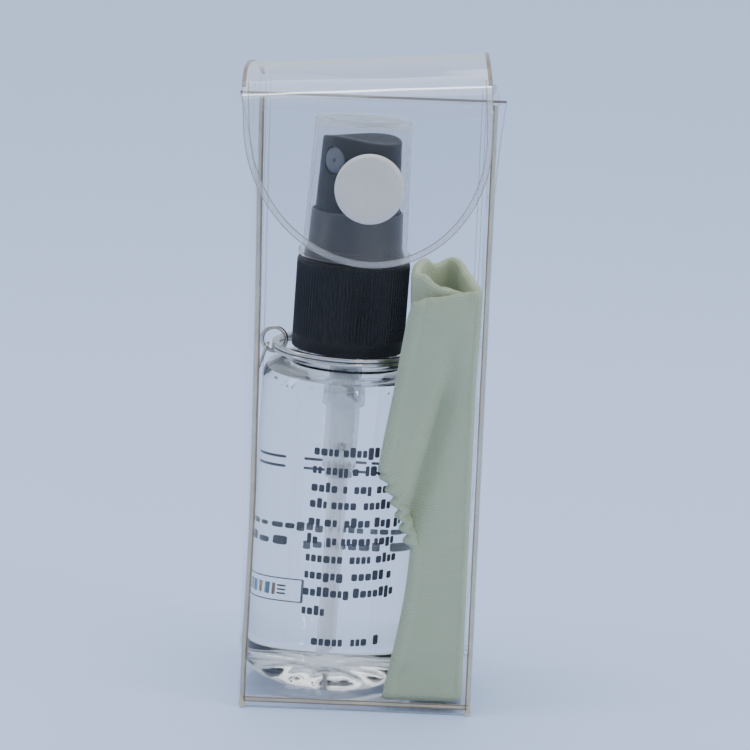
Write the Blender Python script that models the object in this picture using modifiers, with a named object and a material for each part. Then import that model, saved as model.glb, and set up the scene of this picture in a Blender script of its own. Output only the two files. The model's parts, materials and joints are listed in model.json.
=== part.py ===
"""Lens-cleaning spray kit: a sprayer bottle with a key ring and a cleaning cloth, in a clear film
pouch whose flap closes with a press snap.

Metres, +Z up, front towards -Y. The origin is the middle of the footprint, on the surface that the
pouch stands on. The bottle leans a little to the right in its pouch, so everything on it hangs from
one empty on the bottle's own axis: there, heights are measured along that axis from the bottle's base.
"""

import math

import bmesh
import bpy
from mathutils import Vector

MM = 0.001
GAP = 0.3  # clearance that touching pieces keep, in mm like every size below

# Pouch film
FILM = 0.4
FRONT_Y = -14.15  # outer face of the front panel
BACK_Y = 19.75  # outer face of the back panel
PANEL_TOP = 114.7
SEAM_LEFT, SEAM_RIGHT = -20.3, 21.8  # side edges of the front panel
EAR_X = 23.5  # half width of the front panel's flared top corners
EAR_START = 95.0
BASE_Z = 1.2  # underside of the base panel, above the flange that the pouch stands on
LEFT_BULGE, RIGHT_BULGE = 2.1, 0.3
SIDE_X_LEFT, SIDE_X_RIGHT = -20.1, 21.2  # outer faces of the side gussets at their welds

# Flap
FLAP_HALF = 22.25
FLAP_Y = -18.05  # outer face of the part that hangs in front
FLAP_SPLIT = 111.7  # where the bending fold ends and the hanging part starts
FLAP_RIM_Z = 84.7
FLAP_ELLIPSE_Z = 109.0
FOLD_TOP = 120.1
FOLD_TILT = 0.095  # the fold stands higher at its right end

# Press snap, on one line through the flap and the front panel
SNAP_Z = 98.8
SNAP_CAP_R = 6.2
INNER_CAP_R = 4.9
SNAP_HOLE_R = 1.25
PRONG_R = 0.9

# Bottle
BOTTLE_BASE = (-5.81, 3.25, 2.6)
LEAN_DEG = 2.14
BODY_R = 15.6
WALL = 0.55
SHOULDER_Z, SHOULDER_R = 57.2, 4.0
NECK_R, NECK_BORE_R = 8.3, 7.3
NECK_TOP = 76.4
LIQUID_TOP = 57.6

# Sprayer, in heights along the bottle's axis
CLOSURE_R = 10.6
CLOSURE_BOTTOM, CLOSURE_TOP = 63.27, 80.23
CLOSURE_BORE_R = 9.25
COLLAR_TOP = 89.4
CUP_BOTTOM, CUP_TOP = 80.66, 106.47
CUP_WALL = 0.62
ACTUATOR_BOTTOM, ACTUATOR_TOP = 86.1, 103.3
NOZZLE_Z, NOZZLE_TURN_DEG = 98.9, -42.0
HOUSING_BOTTOM = 39.0
TUBE_R, TUBE_BORE_R, TUBE_END = 1.35, 0.85, 3.2

# Key ring on the bottle's shoulder
RING_R, RING_WIDTH, RING_THICK = 13.55, 1.4, 0.7
RING_Z, RING_PITCH, RING_TURNS = 62.2, 0.8, 1.93
HOOP_AT = (-13.9, 63.75)
HOOP_R, HOOP_WIRE = 2.3, 0.34
LINK_TOP = (-15.0, 62.95)
LINK_LENGTH, LINK_END_R, LINK_WIRE, LINK_TILT_DEG = 6.6, 1.25, 0.3, 17.2

# Cloth
CLOTH_TOP, CLOTH_BOTTOM = 82.5, 2.0
CLOTH_CLEAR_R = 16.0
CLOTH_CLEAR_X = -3.5

KIT = "lens_cleaning_kit"
COARSE, FINE = 20, 32


def start_clean():
    for old in list(bpy.data.objects):
        bpy.data.objects.remove(old)
    for name in (KIT, "cutters"):
        made = bpy.data.collections.new(name)
        bpy.context.scene.collection.children.link(made)
    bpy.data.collections["cutters"].hide_render = True


def material(name, colour, roughness, metallic=0.0, alpha=1.0):
    made = bpy.data.materials.new(name)
    made.use_nodes = True
    shader = made.node_tree.nodes["Principled BSDF"]
    shader.inputs["Base Color"].default_value = (*colour, 1.0)
    shader.inputs["Roughness"].default_value = roughness
    shader.inputs["Metallic"].default_value = metallic
    shader.inputs["Alpha"].default_value = alpha
    return made


def place(obj, mat, parent=None, helper=False):
    """Puts an object in its collection under its parent, with its material."""
    for old in list(obj.users_collection):
        old.objects.unlink(obj)
    bpy.data.collections["cutters" if helper else KIT].objects.link(obj)
    if helper:
        obj.hide_render = True
        obj.display_type = "WIRE"
    if parent:
        obj.parent = parent
    if mat:
        obj.data.materials.append(mat)
    return obj


def mesh_object(name, bm, mat, parent=None, helper=False):
    mesh = bpy.data.meshes.new(name)
    bm.to_mesh(mesh)
    bm.free()
    return place(bpy.data.objects.new(name, mesh), mat, parent, helper)


def empty(name, location_mm, rotation=(0.0, 0.0, 0.0), parent=None):
    made = bpy.data.objects.new(name, None)
    bpy.data.collections[KIT].objects.link(made)
    made.location = Vector(location_mm) * MM
    made.rotation_euler = rotation
    made.parent = parent
    return made


def arc(centre, radius, start_deg, end_deg, steps):
    """Points of an arc in a profile plane, in mm, both ends included."""
    angles = [math.radians(start_deg + (end_deg - start_deg) * i / steps) for i in range(steps + 1)]
    return [(centre[0] + radius * math.cos(a), centre[1] + radius * math.sin(a)) for a in angles]


def turned(name, profile, mat, parent=None, steps=FINE, closed=True, helper=False):
    """A turned piece from a profile of (radius, height) in mm that runs down its outer side."""
    bm = bmesh.new()
    points = [bm.verts.new((r * MM, 0.0, z * MM)) for r, z in profile]
    pairs = list(zip(points, points[1:] + points[:1])) if closed else list(zip(points, points[1:]))
    for a, b in pairs:
        bm.edges.new((a, b))
    obj = mesh_object(name, bm, mat, parent, helper)
    screw = obj.modifiers.new("turn", "SCREW")
    screw.axis = "Z"
    screw.steps = steps
    screw.render_steps = steps
    screw.use_merge_vertices = True
    screw.merge_threshold = 0.00001
    screw.use_smooth_shade = True
    return obj


def cut(obj, cutter):
    boolean = obj.modifiers.new("cut " + cutter.name, "BOOLEAN")
    boolean.operation = "DIFFERENCE"
    boolean.solver = "EXACT"
    boolean.object = cutter


def rod_cutter(name, radius, length, centre, rotation=(0.0, 0.0, 0.0), parent=None):
    """A hidden cylinder for a hole, its middle at centre and its axis on local Z; sizes in mm."""
    bm = bmesh.new()
    bmesh.ops.create_cone(
        bm, cap_ends=True, segments=COARSE, radius1=radius * MM, radius2=radius * MM, depth=length * MM
    )
    obj = mesh_object(name, bm, None, parent, helper=True)
    obj.location = Vector(centre) * MM
    obj.rotation_euler = rotation
    return obj


def wire(name, points, radius, mat, parent=None, cyclic=False, section=None):
    """A wire through points in mm: round with this radius, or with the section of another curve."""
    curve = bpy.data.curves.new(name, "CURVE")
    curve.dimensions = "3D"
    curve.use_fill_caps = not cyclic
    curve.bevel_resolution = 2
    if section:
        curve.twist_mode = "Z_UP"
        curve.bevel_mode = "OBJECT"
        curve.bevel_object = section
    else:
        curve.bevel_depth = radius * MM
    spline = curve.splines.new("POLY")
    spline.points.add(len(points) - 1)
    for point, at in zip(spline.points, points):
        point.co = (*(Vector(at) * MM), 1.0)
    spline.use_cyclic_u = cyclic
    return place(bpy.data.objects.new(name, curve), mat, parent)


def sheet_outline(name, outline, thickness, mat):
    """A flat film panel from an outline in mm; it lies in local XY and is thickness thick."""
    curve = bpy.data.curves.new(name, "CURVE")
    curve.dimensions = "2D"
    curve.fill_mode = "BOTH"
    curve.extrude = thickness * MM / 2
    spline = curve.splines.new("POLY")
    spline.points.add(len(outline) - 1)
    for point, (x, y) in zip(spline.points, outline):
        point.co = (x * MM, y * MM, 0.0, 1.0)
    spline.use_cyclic_u = True
    return place(bpy.data.objects.new(name, curve), mat)


def as_mesh(obj):
    """The same object as a welded mesh, so that a Boolean can cut it."""
    bpy.context.view_layer.update()
    graph = bpy.context.evaluated_depsgraph_get()
    mesh = bpy.data.meshes.new_from_object(obj.evaluated_get(graph))
    bm = bmesh.new()
    bm.from_mesh(mesh)
    bmesh.ops.remove_doubles(bm, verts=bm.verts, dist=0.000005)
    bm.to_mesh(mesh)
    bm.free()
    name, matrix = obj.name, obj.matrix_world.copy()
    bpy.data.objects.remove(obj)
    made = place(bpy.data.objects.new(name, mesh), None)
    made.matrix_world = matrix
    return made


def curved_sheet(name, across, along, point_at, mat):
    """A film shell over a grid; point_at(u, v) gives each point in mm for u and v from 0 to 1."""
    bm = bmesh.new()
    bmesh.ops.create_grid(bm, x_segments=across, y_segments=along, size=0.5)
    for vert in bm.verts:
        vert.co = Vector(point_at(vert.co.x + 0.5, vert.co.y + 0.5)) * MM
    obj = mesh_object(name, bm, mat)
    shell = obj.modifiers.new("film", "SOLIDIFY")
    shell.thickness = FILM * MM
    shell.offset = 0.0
    shell.use_even_offset = True
    return obj


# ---------------------------------------------------------------- pouch


def flare(z):
    """0 below the flared top corners of the pouch, rising smoothly to 1 at its top edge."""
    part = max(0.0, (z - EAR_START) / (PANEL_TOP - EAR_START))
    return part**1.6


def front_outline():
    heights = [EAR_START + (PANEL_TOP - EAR_START) * i / 6 for i in range(7)]
    left = [(SEAM_LEFT + (-EAR_X - SEAM_LEFT) * flare(z), z) for z in heights]
    right = [(SEAM_RIGHT + (EAR_X - SEAM_RIGHT) * flare(z), z) for z in heights]
    return [(SEAM_LEFT, 0.0), (SEAM_RIGHT, 0.0)] + right + left[::-1]


def standing(obj, middle_y):
    obj.location = (0.0, middle_y * MM, 0.0)
    obj.rotation_euler = (math.radians(90), 0.0, 0.0)


def make_front_panel(film):
    panel = sheet_outline("pouch_front", front_outline(), FILM, film)
    standing(panel, FRONT_Y + FILM / 2)
    panel = as_mesh(panel)
    hole = rod_cutter(
        "snap_hole_front", SNAP_HOLE_R, 4 * FILM, (0.0, FRONT_Y + FILM / 2, SNAP_Z), (math.radians(90), 0, 0)
    )
    cut(panel, hole)


def make_back_panel(film):
    half = FLAP_HALF
    outline = [(-half, 0.0), (half, 0.0), (half, PANEL_TOP), (-half, PANEL_TOP)]
    standing(sheet_outline("pouch_back", outline, FILM, film), BACK_Y - FILM / 2)


def bow(bulge, u):
    """How far a side gusset stands out at u of the way from its front weld to its back weld."""
    return bulge * math.sin(math.pi * u) ** 0.6 if 0 < u < 1 else 0.0


def inner_depth():
    """Where the gussets and the base start and end, just inside the two panels."""
    return FRONT_Y + FILM + GAP, BACK_Y - FILM - GAP


def make_side(name, weld_x, outward, bulge, film):
    """A side gusset: welded along its front and back edges, bowed outward between them."""
    first_y, last_y = inner_depth()
    low_z = BASE_Z + FILM + GAP
    middle_x = weld_x - outward * FILM / 2

    def point_at(u, v):
        z = low_z + (PANEL_TOP - GAP - low_z) * v
        return (middle_x + outward * (bow(bulge, u) + flare(z)), first_y + (last_y - first_y) * u, z)

    curved_sheet(name, 12, 6, point_at, film)


def make_base_panel(film):
    """The floor of the pouch: it follows the gussets, and its edges lie flush with their middle."""
    first_y, last_y = inner_depth()
    steps = 8
    ways = [i / steps for i in range(steps + 1)]
    right = [(SIDE_X_RIGHT + bow(RIGHT_BULGE, u), first_y + (last_y - first_y) * u) for u in ways]
    left = [(SIDE_X_LEFT - bow(LEFT_BULGE, u), first_y + (last_y - first_y) * u) for u in ways]
    base = sheet_outline("base_panel", right + left[::-1], FILM, film)
    base.location = (0.0, 0.0, (BASE_Z + FILM / 2) * MM)


# ---------------------------------------------------------------- flap


def fold_path(u, x):
    """The fold's middle line from the back panel's edge over to the front, as (y, z) in mm."""
    back = Vector((BACK_Y - FILM / 2, PANEL_TOP + GAP))
    front = Vector((FLAP_Y + FILM / 2, FLAP_SPLIT + GAP))
    crown = FOLD_TOP + FOLD_TILT * x
    first = Vector((back.x - 1.0, crown + 1.6))
    second = Vector((front.x - 0.3, crown + 2.6))
    keep = 1.0 - u
    return (
        back * keep**3 + first * 3 * keep**2 * u + second * 3 * keep * u**2 + front * u**3
    )


def make_fold(film):
    def point_at(u, v):
        x = -FLAP_HALF + 2 * FLAP_HALF * v
        y, z = fold_path(u, x)
        return (x, y, z)

    curved_sheet("flap_fold", 16, 4, point_at, film)


def make_flap_front(film):
    depth = FLAP_ELLIPSE_Z - FLAP_RIM_Z
    steps = 28
    rim = [math.pi * i / steps for i in range(steps + 1)]
    outline = [(FLAP_HALF, FLAP_SPLIT), (-FLAP_HALF, FLAP_SPLIT)]
    outline += [(-FLAP_HALF * math.cos(a), FLAP_ELLIPSE_Z - depth * math.sin(a)) for a in rim]
    flap = sheet_outline("flap_front", outline, FILM, film)
    standing(flap, FLAP_Y + FILM / 2)
    flap = as_mesh(flap)
    hole = rod_cutter(
        "snap_hole_flap", SNAP_HOLE_R, 4 * FILM, (0.0, FLAP_Y + FILM / 2, SNAP_Z), (math.radians(90), 0, 0)
    )
    cut(flap, hole)


def make_snap(plastic):
    """Four turned pieces on one axis that points out of the front; heights there equal -y."""
    axis = empty("snap_axis", (0.0, 0.0, SNAP_Z), (math.radians(90), 0.0, 0.0))
    film_out, film_in = -FLAP_Y, -FLAP_Y - FILM
    cap_back = film_out + GAP
    cap_front = -FLAP_Y + 1.7
    socket_top = film_in - GAP
    cap = [(0.0, cap_front), (3.4, cap_front)]
    cap += arc((SNAP_CAP_R - 0.75, cap_front - 0.75), 0.75, 90, 0, 4)
    cap += [(SNAP_CAP_R, cap_back), (PRONG_R, cap_back), (PRONG_R, socket_top - 0.6), (0.0, socket_top - 0.6)]
    turned("snap_cap", cap, plastic, axis, COARSE + 8, closed=False)

    panel_out, panel_in = -FRONT_Y, -FRONT_Y - FILM
    socket_low = panel_out + 1.15
    roof = socket_top - 0.75
    socket = [(1.2, socket_top), (4.3, socket_top), (4.3, socket_low), (2.4, socket_low), (2.4, roof), (1.2, roof)]
    turned("snap_socket", socket, plastic, axis, COARSE)

    flange_low = panel_out + GAP
    stud = [(1.2, roof - GAP), (1.9, roof - GAP), (1.9, socket_low - GAP), (4.0, socket_low - GAP)]
    stud += [(4.0, flange_low), (1.2, flange_low)]
    turned("snap_stud", stud, plastic, axis, COARSE)

    inner_top = panel_in - GAP
    inner = [(0.0, roof - 0.7), (PRONG_R, roof - 0.7), (PRONG_R, inner_top), (INNER_CAP_R, inner_top)]
    inner += [(INNER_CAP_R, inner_top - 0.35), (INNER_CAP_R - 0.35, inner_top - 0.7), (0.0, inner_top - 0.7)]
    turned("snap_inner_cap", inner, plastic, axis, COARSE + 8, closed=False)


# ---------------------------------------------------------------- bottle and sprayer


def make_bottle(mat, axis):
    shoulder_x = BODY_R - SHOULDER_R
    inner = [(0.0, 2.1), (8.0, 1.5), (11.4, 0.9)]
    inner += arc((BODY_R - 2.0, 2.0), 2.0 - WALL, -90, 0, 3)
    inner += arc((shoulder_x, SHOULDER_Z), SHOULDER_R - WALL, 0, 90, 5)
    inner += [(9.0, 61.1), (NECK_BORE_R, 62.6), (NECK_BORE_R, NECK_TOP)]
    outer = [(NECK_R, NECK_TOP), (NECK_R, 65.8), (9.0, 65.4), (9.0, 64.8), (NECK_R, 64.4), (NECK_R, 62.7)]
    outer += [(9.4, 61.6)]
    outer += arc((shoulder_x, SHOULDER_Z), SHOULDER_R, 90, 0, 5)
    outer += arc((BODY_R - 2.0, 2.0), 2.0, 0, -90, 3)
    outer += [(11.4, 0.3), (8.0, 0.9), (0.0, 1.5)]
    turned("bottle", inner + outer, mat, axis, closed=False)


def make_liquid(mat, axis):
    """The liquid, with a well down its middle for the pump and its dip tube."""
    wide = BODY_R - WALL - GAP
    shape = [(3.3, LIQUID_TOP), (wide - 0.25, LIQUID_TOP), (wide, SHOULDER_Z - 1.2)]
    shape += arc((wide - 1.2, 2.2), 1.2, 0, -90, 2)
    shape += [(8.0, 1.8), (TUBE_R + GAP, 2.5), (TUBE_R + GAP, HOUSING_BOTTOM - GAP), (2.3, HOUSING_BOTTOM - GAP)]
    shape += [(2.3, 40.7), (2.65, 40.7), (2.65, 52.7), (3.3, 52.7)]
    turned("cleaning_fluid", shape, mat, axis, FINE - 4)


def make_closure(mat, axis):
    shape = [(7.2, CLOSURE_TOP), (CLOSURE_R - 0.5, CLOSURE_TOP), (CLOSURE_R, CLOSURE_TOP - 0.4)]
    shape += [(CLOSURE_R, CLOSURE_BOTTOM), (CLOSURE_BORE_R, CLOSURE_BOTTOM)]
    shape += [(CLOSURE_BORE_R, CLOSURE_TOP - 1.2), (7.2, CLOSURE_TOP - 1.2)]
    turned("screw_closure", shape, mat, axis)


def make_collar(mat, axis):
    seat = CLOSURE_TOP + GAP
    shape = [(8.15, COLLAR_TOP), (8.55, COLLAR_TOP), (8.8, 82.6), (9.3, 81.4), (9.3, seat), (6.9, seat)]
    shape += [(6.9, CLOSURE_TOP - 1.2), (4.4, CLOSURE_TOP - 1.2), (4.4, 80.2), (3.2, 80.2), (3.2, 81.5), (8.15, 81.5)]
    turned("pump_collar", shape, mat, axis)


def make_pump(plastic, rubber, steel, axis):
    flange_top = CLOSURE_TOP - 1.5
    gasket_low = NECK_TOP + GAP
    gasket_top = flange_top - 0.7 - GAP
    turned(
        "neck_gasket", [(3.6, gasket_top), (8.1, gasket_top), (8.1, gasket_low), (3.6, gasket_low)], rubber, axis, 24
    )
    shape = [(2.3, flange_top), (7.9, flange_top), (7.9, flange_top - 0.7), (3.0, flange_top - 0.7), (3.0, 53.0)]
    shape += [(2.35, 52.6), (2.35, 41.0), (1.95, 40.6), (1.95, HOUSING_BOTTOM), (TUBE_R + GAP, HOUSING_BOTTOM)]
    shape += [(TUBE_R + GAP, 42.0), (0.7, 42.0), (0.7, 42.9), (1.65, 43.9), (1.65, 53.4), (2.3, 53.4)]
    turned("pump_housing", shape, plastic, axis, 24)
    tube = [(TUBE_BORE_R, 41.7), (TUBE_R, 41.7), (TUBE_R, TUBE_END), (TUBE_BORE_R, TUBE_END)]
    turned("dip_tube", tube, plastic, axis, 16)

    seat = empty("ball_seat", (0.0, 0.0, 44.9), parent=axis)
    bm = bmesh.new()
    bmesh.ops.create_uvsphere(bm, u_segments=14, v_segments=8, radius=0.95 * MM)
    mesh_object("check_ball", bm, steel, seat)

    turns, low, high, radius = 6, 53.95, 67.35, 1.7
    per_turn = 12
    count = turns * per_turn
    coil = []
    for i in range(count + 1):
        angle = 2 * math.pi * i / per_turn
        coil.append((radius * math.cos(angle), radius * math.sin(angle), low + (high - low) * i / count))
    wire("return_spring", coil, 0.2, steel, axis)

    piston = [(0.5, 70.7), (2.0, 70.7), (2.0, 67.9), (0.5, 67.9)]
    turned("piston", piston, rubber, axis, 16)
    turned("pump_stem", [(0.75, 95.5), (1.45, 95.5), (1.45, 71.0), (0.75, 71.0)], plastic, axis, 16)


def make_actuator(mat, nozzle_mat, axis):
    """The press head: its skirt slides in the collar, and its solid top carries the nozzle."""
    head_low = 95.0
    shape = [(0.0, 102.6), (5.6, ACTUATOR_TOP - 0.25), (6.7, ACTUATOR_TOP), (7.15, ACTUATOR_TOP - 0.1)]
    shape += [(7.35, ACTUATOR_TOP - 0.45), (7.85, 89.8), (7.85, ACTUATOR_BOTTOM), (6.9, ACTUATOR_BOTTOM)]
    shape += [(6.7, head_low), (2.7, head_low), (2.7, 88.0), (1.75, 88.0), (1.75, 95.9), (0.0, 95.9)]
    head = turned("actuator", shape, mat, axis, closed=False)
    facing = empty(
        "nozzle_axis", (0.0, 0.0, NOZZLE_Z), (math.radians(90), 0.0, math.radians(NOZZLE_TURN_DEG)), axis
    )
    face = 7.35
    cut(head, rod_cutter("nozzle_recess", 2.8, 4.0, (0.0, 0.0, face - 1.7 + 2.0), parent=facing))
    cut(head, rod_cutter("feed_channel", 0.5, 6.4, (0.0, 0.0, 3.0), parent=facing))
    cut(head, rod_cutter("stem_channel", 0.75, 4.4, (0.0, 0.0, 97.8), parent=axis))
    back, front = face - 1.4, face - 0.15
    insert = [(0.28, front - 0.35), (0.7, front), (2.1, front), (2.45, front - 0.35), (2.45, back), (0.28, back)]
    turned("nozzle_insert", insert, nozzle_mat, facing, 24)


def make_overcap(mat, axis):
    """A thin tapered cup with a flared rim."""
    low_r, top_r = 9.75, 8.96
    waist = 82.4
    inner = [(9.62, CUP_BOTTOM), (9.62, 81.3), (low_r - CUP_WALL, waist)]
    inner += arc((top_r - 0.9, CUP_TOP - 1.7), 0.9 - 0.1, 0, 90, 3) + [(0.0, CUP_TOP - 0.9)]
    outer = [(0.0, CUP_TOP)] + arc((top_r - 1.2, CUP_TOP - 1.2), 1.2, 90, 0, 4)
    outer += [(low_r, waist), (10.45, 81.5), (10.45, CUP_BOTTOM)]
    turned("overcap", outer + inner, mat, axis, closed=False)


# ---------------------------------------------------------------- key ring


def make_key_ring(metal, axis):
    half_w, half_t = RING_WIDTH / 2 * MM, RING_THICK / 2 * MM
    section = bpy.data.curves.new("flat_wire_section", "CURVE")
    section.dimensions = "2D"
    outline = section.splines.new("POLY")
    outline.points.add(3)
    for point, (x, y) in zip(outline.points, ((-1, -1), (-1, 1), (1, 1), (1, -1))):
        point.co = (x * half_w, y * half_t, 0.0, 1.0)
    outline.use_cyclic_u = True
    guide = place(bpy.data.objects.new("flat_wire_section", section), None, helper=True)

    per_turn = 30
    count = round(RING_TURNS * per_turn)
    points = []
    for i in range(count + 1):
        turn = i / per_turn
        angle = 2 * math.pi * (turn + 0.02)
        points.append((RING_R * math.cos(angle), RING_R * math.sin(angle), RING_Z + RING_PITCH * turn))
    wire("split_ring", points, None, metal, axis, section=guide)

    ring_wire = empty("jump_ring_pivot", (HOOP_AT[0], 0.0, HOOP_AT[1]), parent=axis)
    bpy.ops.mesh.primitive_torus_add(
        major_radius=HOOP_R * MM, minor_radius=HOOP_WIRE * MM, major_segments=26, minor_segments=8
    )
    hoop = bpy.context.object
    hoop.name = "jump_ring"
    hoop.rotation_euler = (math.radians(90), 0.0, 0.0)
    place(hoop, metal, ring_wire)

    tilt = math.radians(LINK_TILT_DEG)
    hang = empty("chain_link_pivot", (LINK_TOP[0], 0.0, LINK_TOP[1]), (0.0, tilt, 0.0), axis)
    points = []
    steps = 8
    for centre_z, first in ((-LINK_END_R, 0.0), (-LINK_LENGTH + LINK_END_R, math.pi)):
        for i in range(steps + 1):
            angle = first + math.pi * i / steps
            points.append((0.0, LINK_END_R * math.cos(angle), centre_z + LINK_END_R * math.sin(angle)))
    wire("chain_link", points, LINK_WIRE, metal, hang, cyclic=True)


# ---------------------------------------------------------------- cloth


def make_cloth(mat):
    """The folded cloth's space: right and front of the bottle, hollowed where the bottle passes."""
    front = FRONT_Y + FILM + 0.35
    behind_cap = FRONT_Y + FILM + 1.3
    right = SIDE_X_RIGHT - FILM - GAP
    plan = [(4.2, behind_cap), (6.6, behind_cap), (7.2, front), (right, front), (right, 9.5), (16.5, 12.5)]
    plan += [(9.0, 12.5), (4.2, 9.0)]
    cloth = sheet_outline("cleaning_cloth", plan, CLOTH_TOP - CLOTH_BOTTOM, mat)
    cloth.location = (0.0, 0.0, (CLOTH_TOP + CLOTH_BOTTOM) / 2 * MM)
    cloth = as_mesh(cloth)
    middle = (CLOTH_CLEAR_X, BOTTLE_BASE[1], (CLOTH_TOP + CLOTH_BOTTOM) / 2)
    bottle_space = rod_cutter("bottle_space", CLOTH_CLEAR_R, 2 * CLOTH_TOP, middle)
    cut(cloth, bottle_space)


def build():
    start_clean()
    film = material("clear_pvc_film", (0.86, 0.90, 0.93), 0.08, alpha=0.25)
    white = material("white_snap_plastic", (0.88, 0.87, 0.87), 0.35)
    pet = material("clear_pet", (0.90, 0.94, 0.97), 0.03, alpha=0.3)
    fluid = material("cleaning_liquid", (0.86, 0.92, 0.97), 0.0, alpha=0.3)
    black = material("black_polypropylene", (0.012, 0.013, 0.015), 0.38)
    natural = material("natural_polypropylene", (0.78, 0.82, 0.85), 0.3, alpha=0.45)
    grey = material("grey_nozzle_plastic", (0.36, 0.39, 0.43), 0.4)
    seal = material("white_polyethylene", (0.80, 0.80, 0.78), 0.5)
    steel = material("nickel_plated_steel", (0.72, 0.71, 0.69), 0.2, 1.0)
    cloth = material("sage_microfibre", (0.36, 0.44, 0.35), 0.95)

    make_front_panel(film)
    make_back_panel(film)
    make_side("side_gusset_left", SIDE_X_LEFT, -1, LEFT_BULGE, film)
    make_side("side_gusset_right", SIDE_X_RIGHT, 1, RIGHT_BULGE, film)
    make_base_panel(film)
    make_fold(film)
    make_flap_front(film)
    make_snap(white)

    axis = empty("bottle_axis", BOTTLE_BASE, (0.0, math.radians(LEAN_DEG), 0.0))
    make_bottle(pet, axis)
    make_liquid(fluid, axis)
    make_closure(black, axis)
    make_collar(black, axis)
    make_pump(natural, seal, steel, axis)
    make_actuator(black, grey, axis)
    make_overcap(natural, axis)
    make_key_ring(steel, axis)
    make_cloth(cloth)


build()
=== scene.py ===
"""Looks of the lens-cleaning kit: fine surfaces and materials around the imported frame.

Lengths are in millimetres unless a name says otherwise; MM turns them into metres. Heights on the bottle are measured
along its own axis from its base, as in the frame's joints.
"""

import json
import random
from math import atan2, cos, exp, hypot, pi, radians, sin, sqrt, tan

import bmesh
import bpy
from mathutils import Matrix, Vector, noise


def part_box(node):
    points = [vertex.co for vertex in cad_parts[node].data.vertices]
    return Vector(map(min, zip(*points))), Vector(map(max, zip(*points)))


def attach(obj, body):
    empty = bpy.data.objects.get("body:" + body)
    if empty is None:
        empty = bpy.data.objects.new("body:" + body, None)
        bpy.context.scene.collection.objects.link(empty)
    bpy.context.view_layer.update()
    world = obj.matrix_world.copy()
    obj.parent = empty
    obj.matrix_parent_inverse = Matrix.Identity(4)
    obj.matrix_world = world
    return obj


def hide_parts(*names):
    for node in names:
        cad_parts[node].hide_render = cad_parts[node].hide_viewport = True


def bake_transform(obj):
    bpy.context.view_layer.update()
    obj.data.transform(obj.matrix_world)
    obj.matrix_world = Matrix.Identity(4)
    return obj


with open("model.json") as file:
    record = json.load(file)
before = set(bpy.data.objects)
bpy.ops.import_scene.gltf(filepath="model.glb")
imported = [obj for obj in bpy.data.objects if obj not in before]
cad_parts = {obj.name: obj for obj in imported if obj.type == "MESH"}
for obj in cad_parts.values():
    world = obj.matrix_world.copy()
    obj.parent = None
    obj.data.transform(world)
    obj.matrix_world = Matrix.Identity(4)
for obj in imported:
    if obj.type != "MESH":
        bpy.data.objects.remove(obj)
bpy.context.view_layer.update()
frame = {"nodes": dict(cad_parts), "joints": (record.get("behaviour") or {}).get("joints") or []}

MM = 0.001
JOINTS = {joint["name"]: joint for joint in frame["joints"]}
BASE = Vector(JOINTS["closure_turn"]["pos_m"])
UP = Vector(JOINTS["closure_turn"]["axis"]).normalized()
AXIS = Matrix.Translation(BASE) @ Vector((0, 0, 1)).rotation_difference(UP).to_matrix().to_4x4()


def corners(node):
    """A CAD node's box."""
    low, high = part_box(node)
    return low / MM, high / MM


def points_of(node, matrix):
    return [matrix @ vert.co / MM for vert in frame["nodes"][node].data.vertices]


def axial(node):
    """Lowest and highest place along the bottle's axis and largest radius about it, of a CAD node."""
    points = points_of(node, AXIS.inverted())
    heights = [p.z for p in points]
    return min(heights), max(heights), max(hypot(p.x, p.y) for p in points)


# ---- node helpers


def tone(colour, by=1.0):
    return (*(min(1.0, c * by) for c in colour), 1.0)


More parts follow.
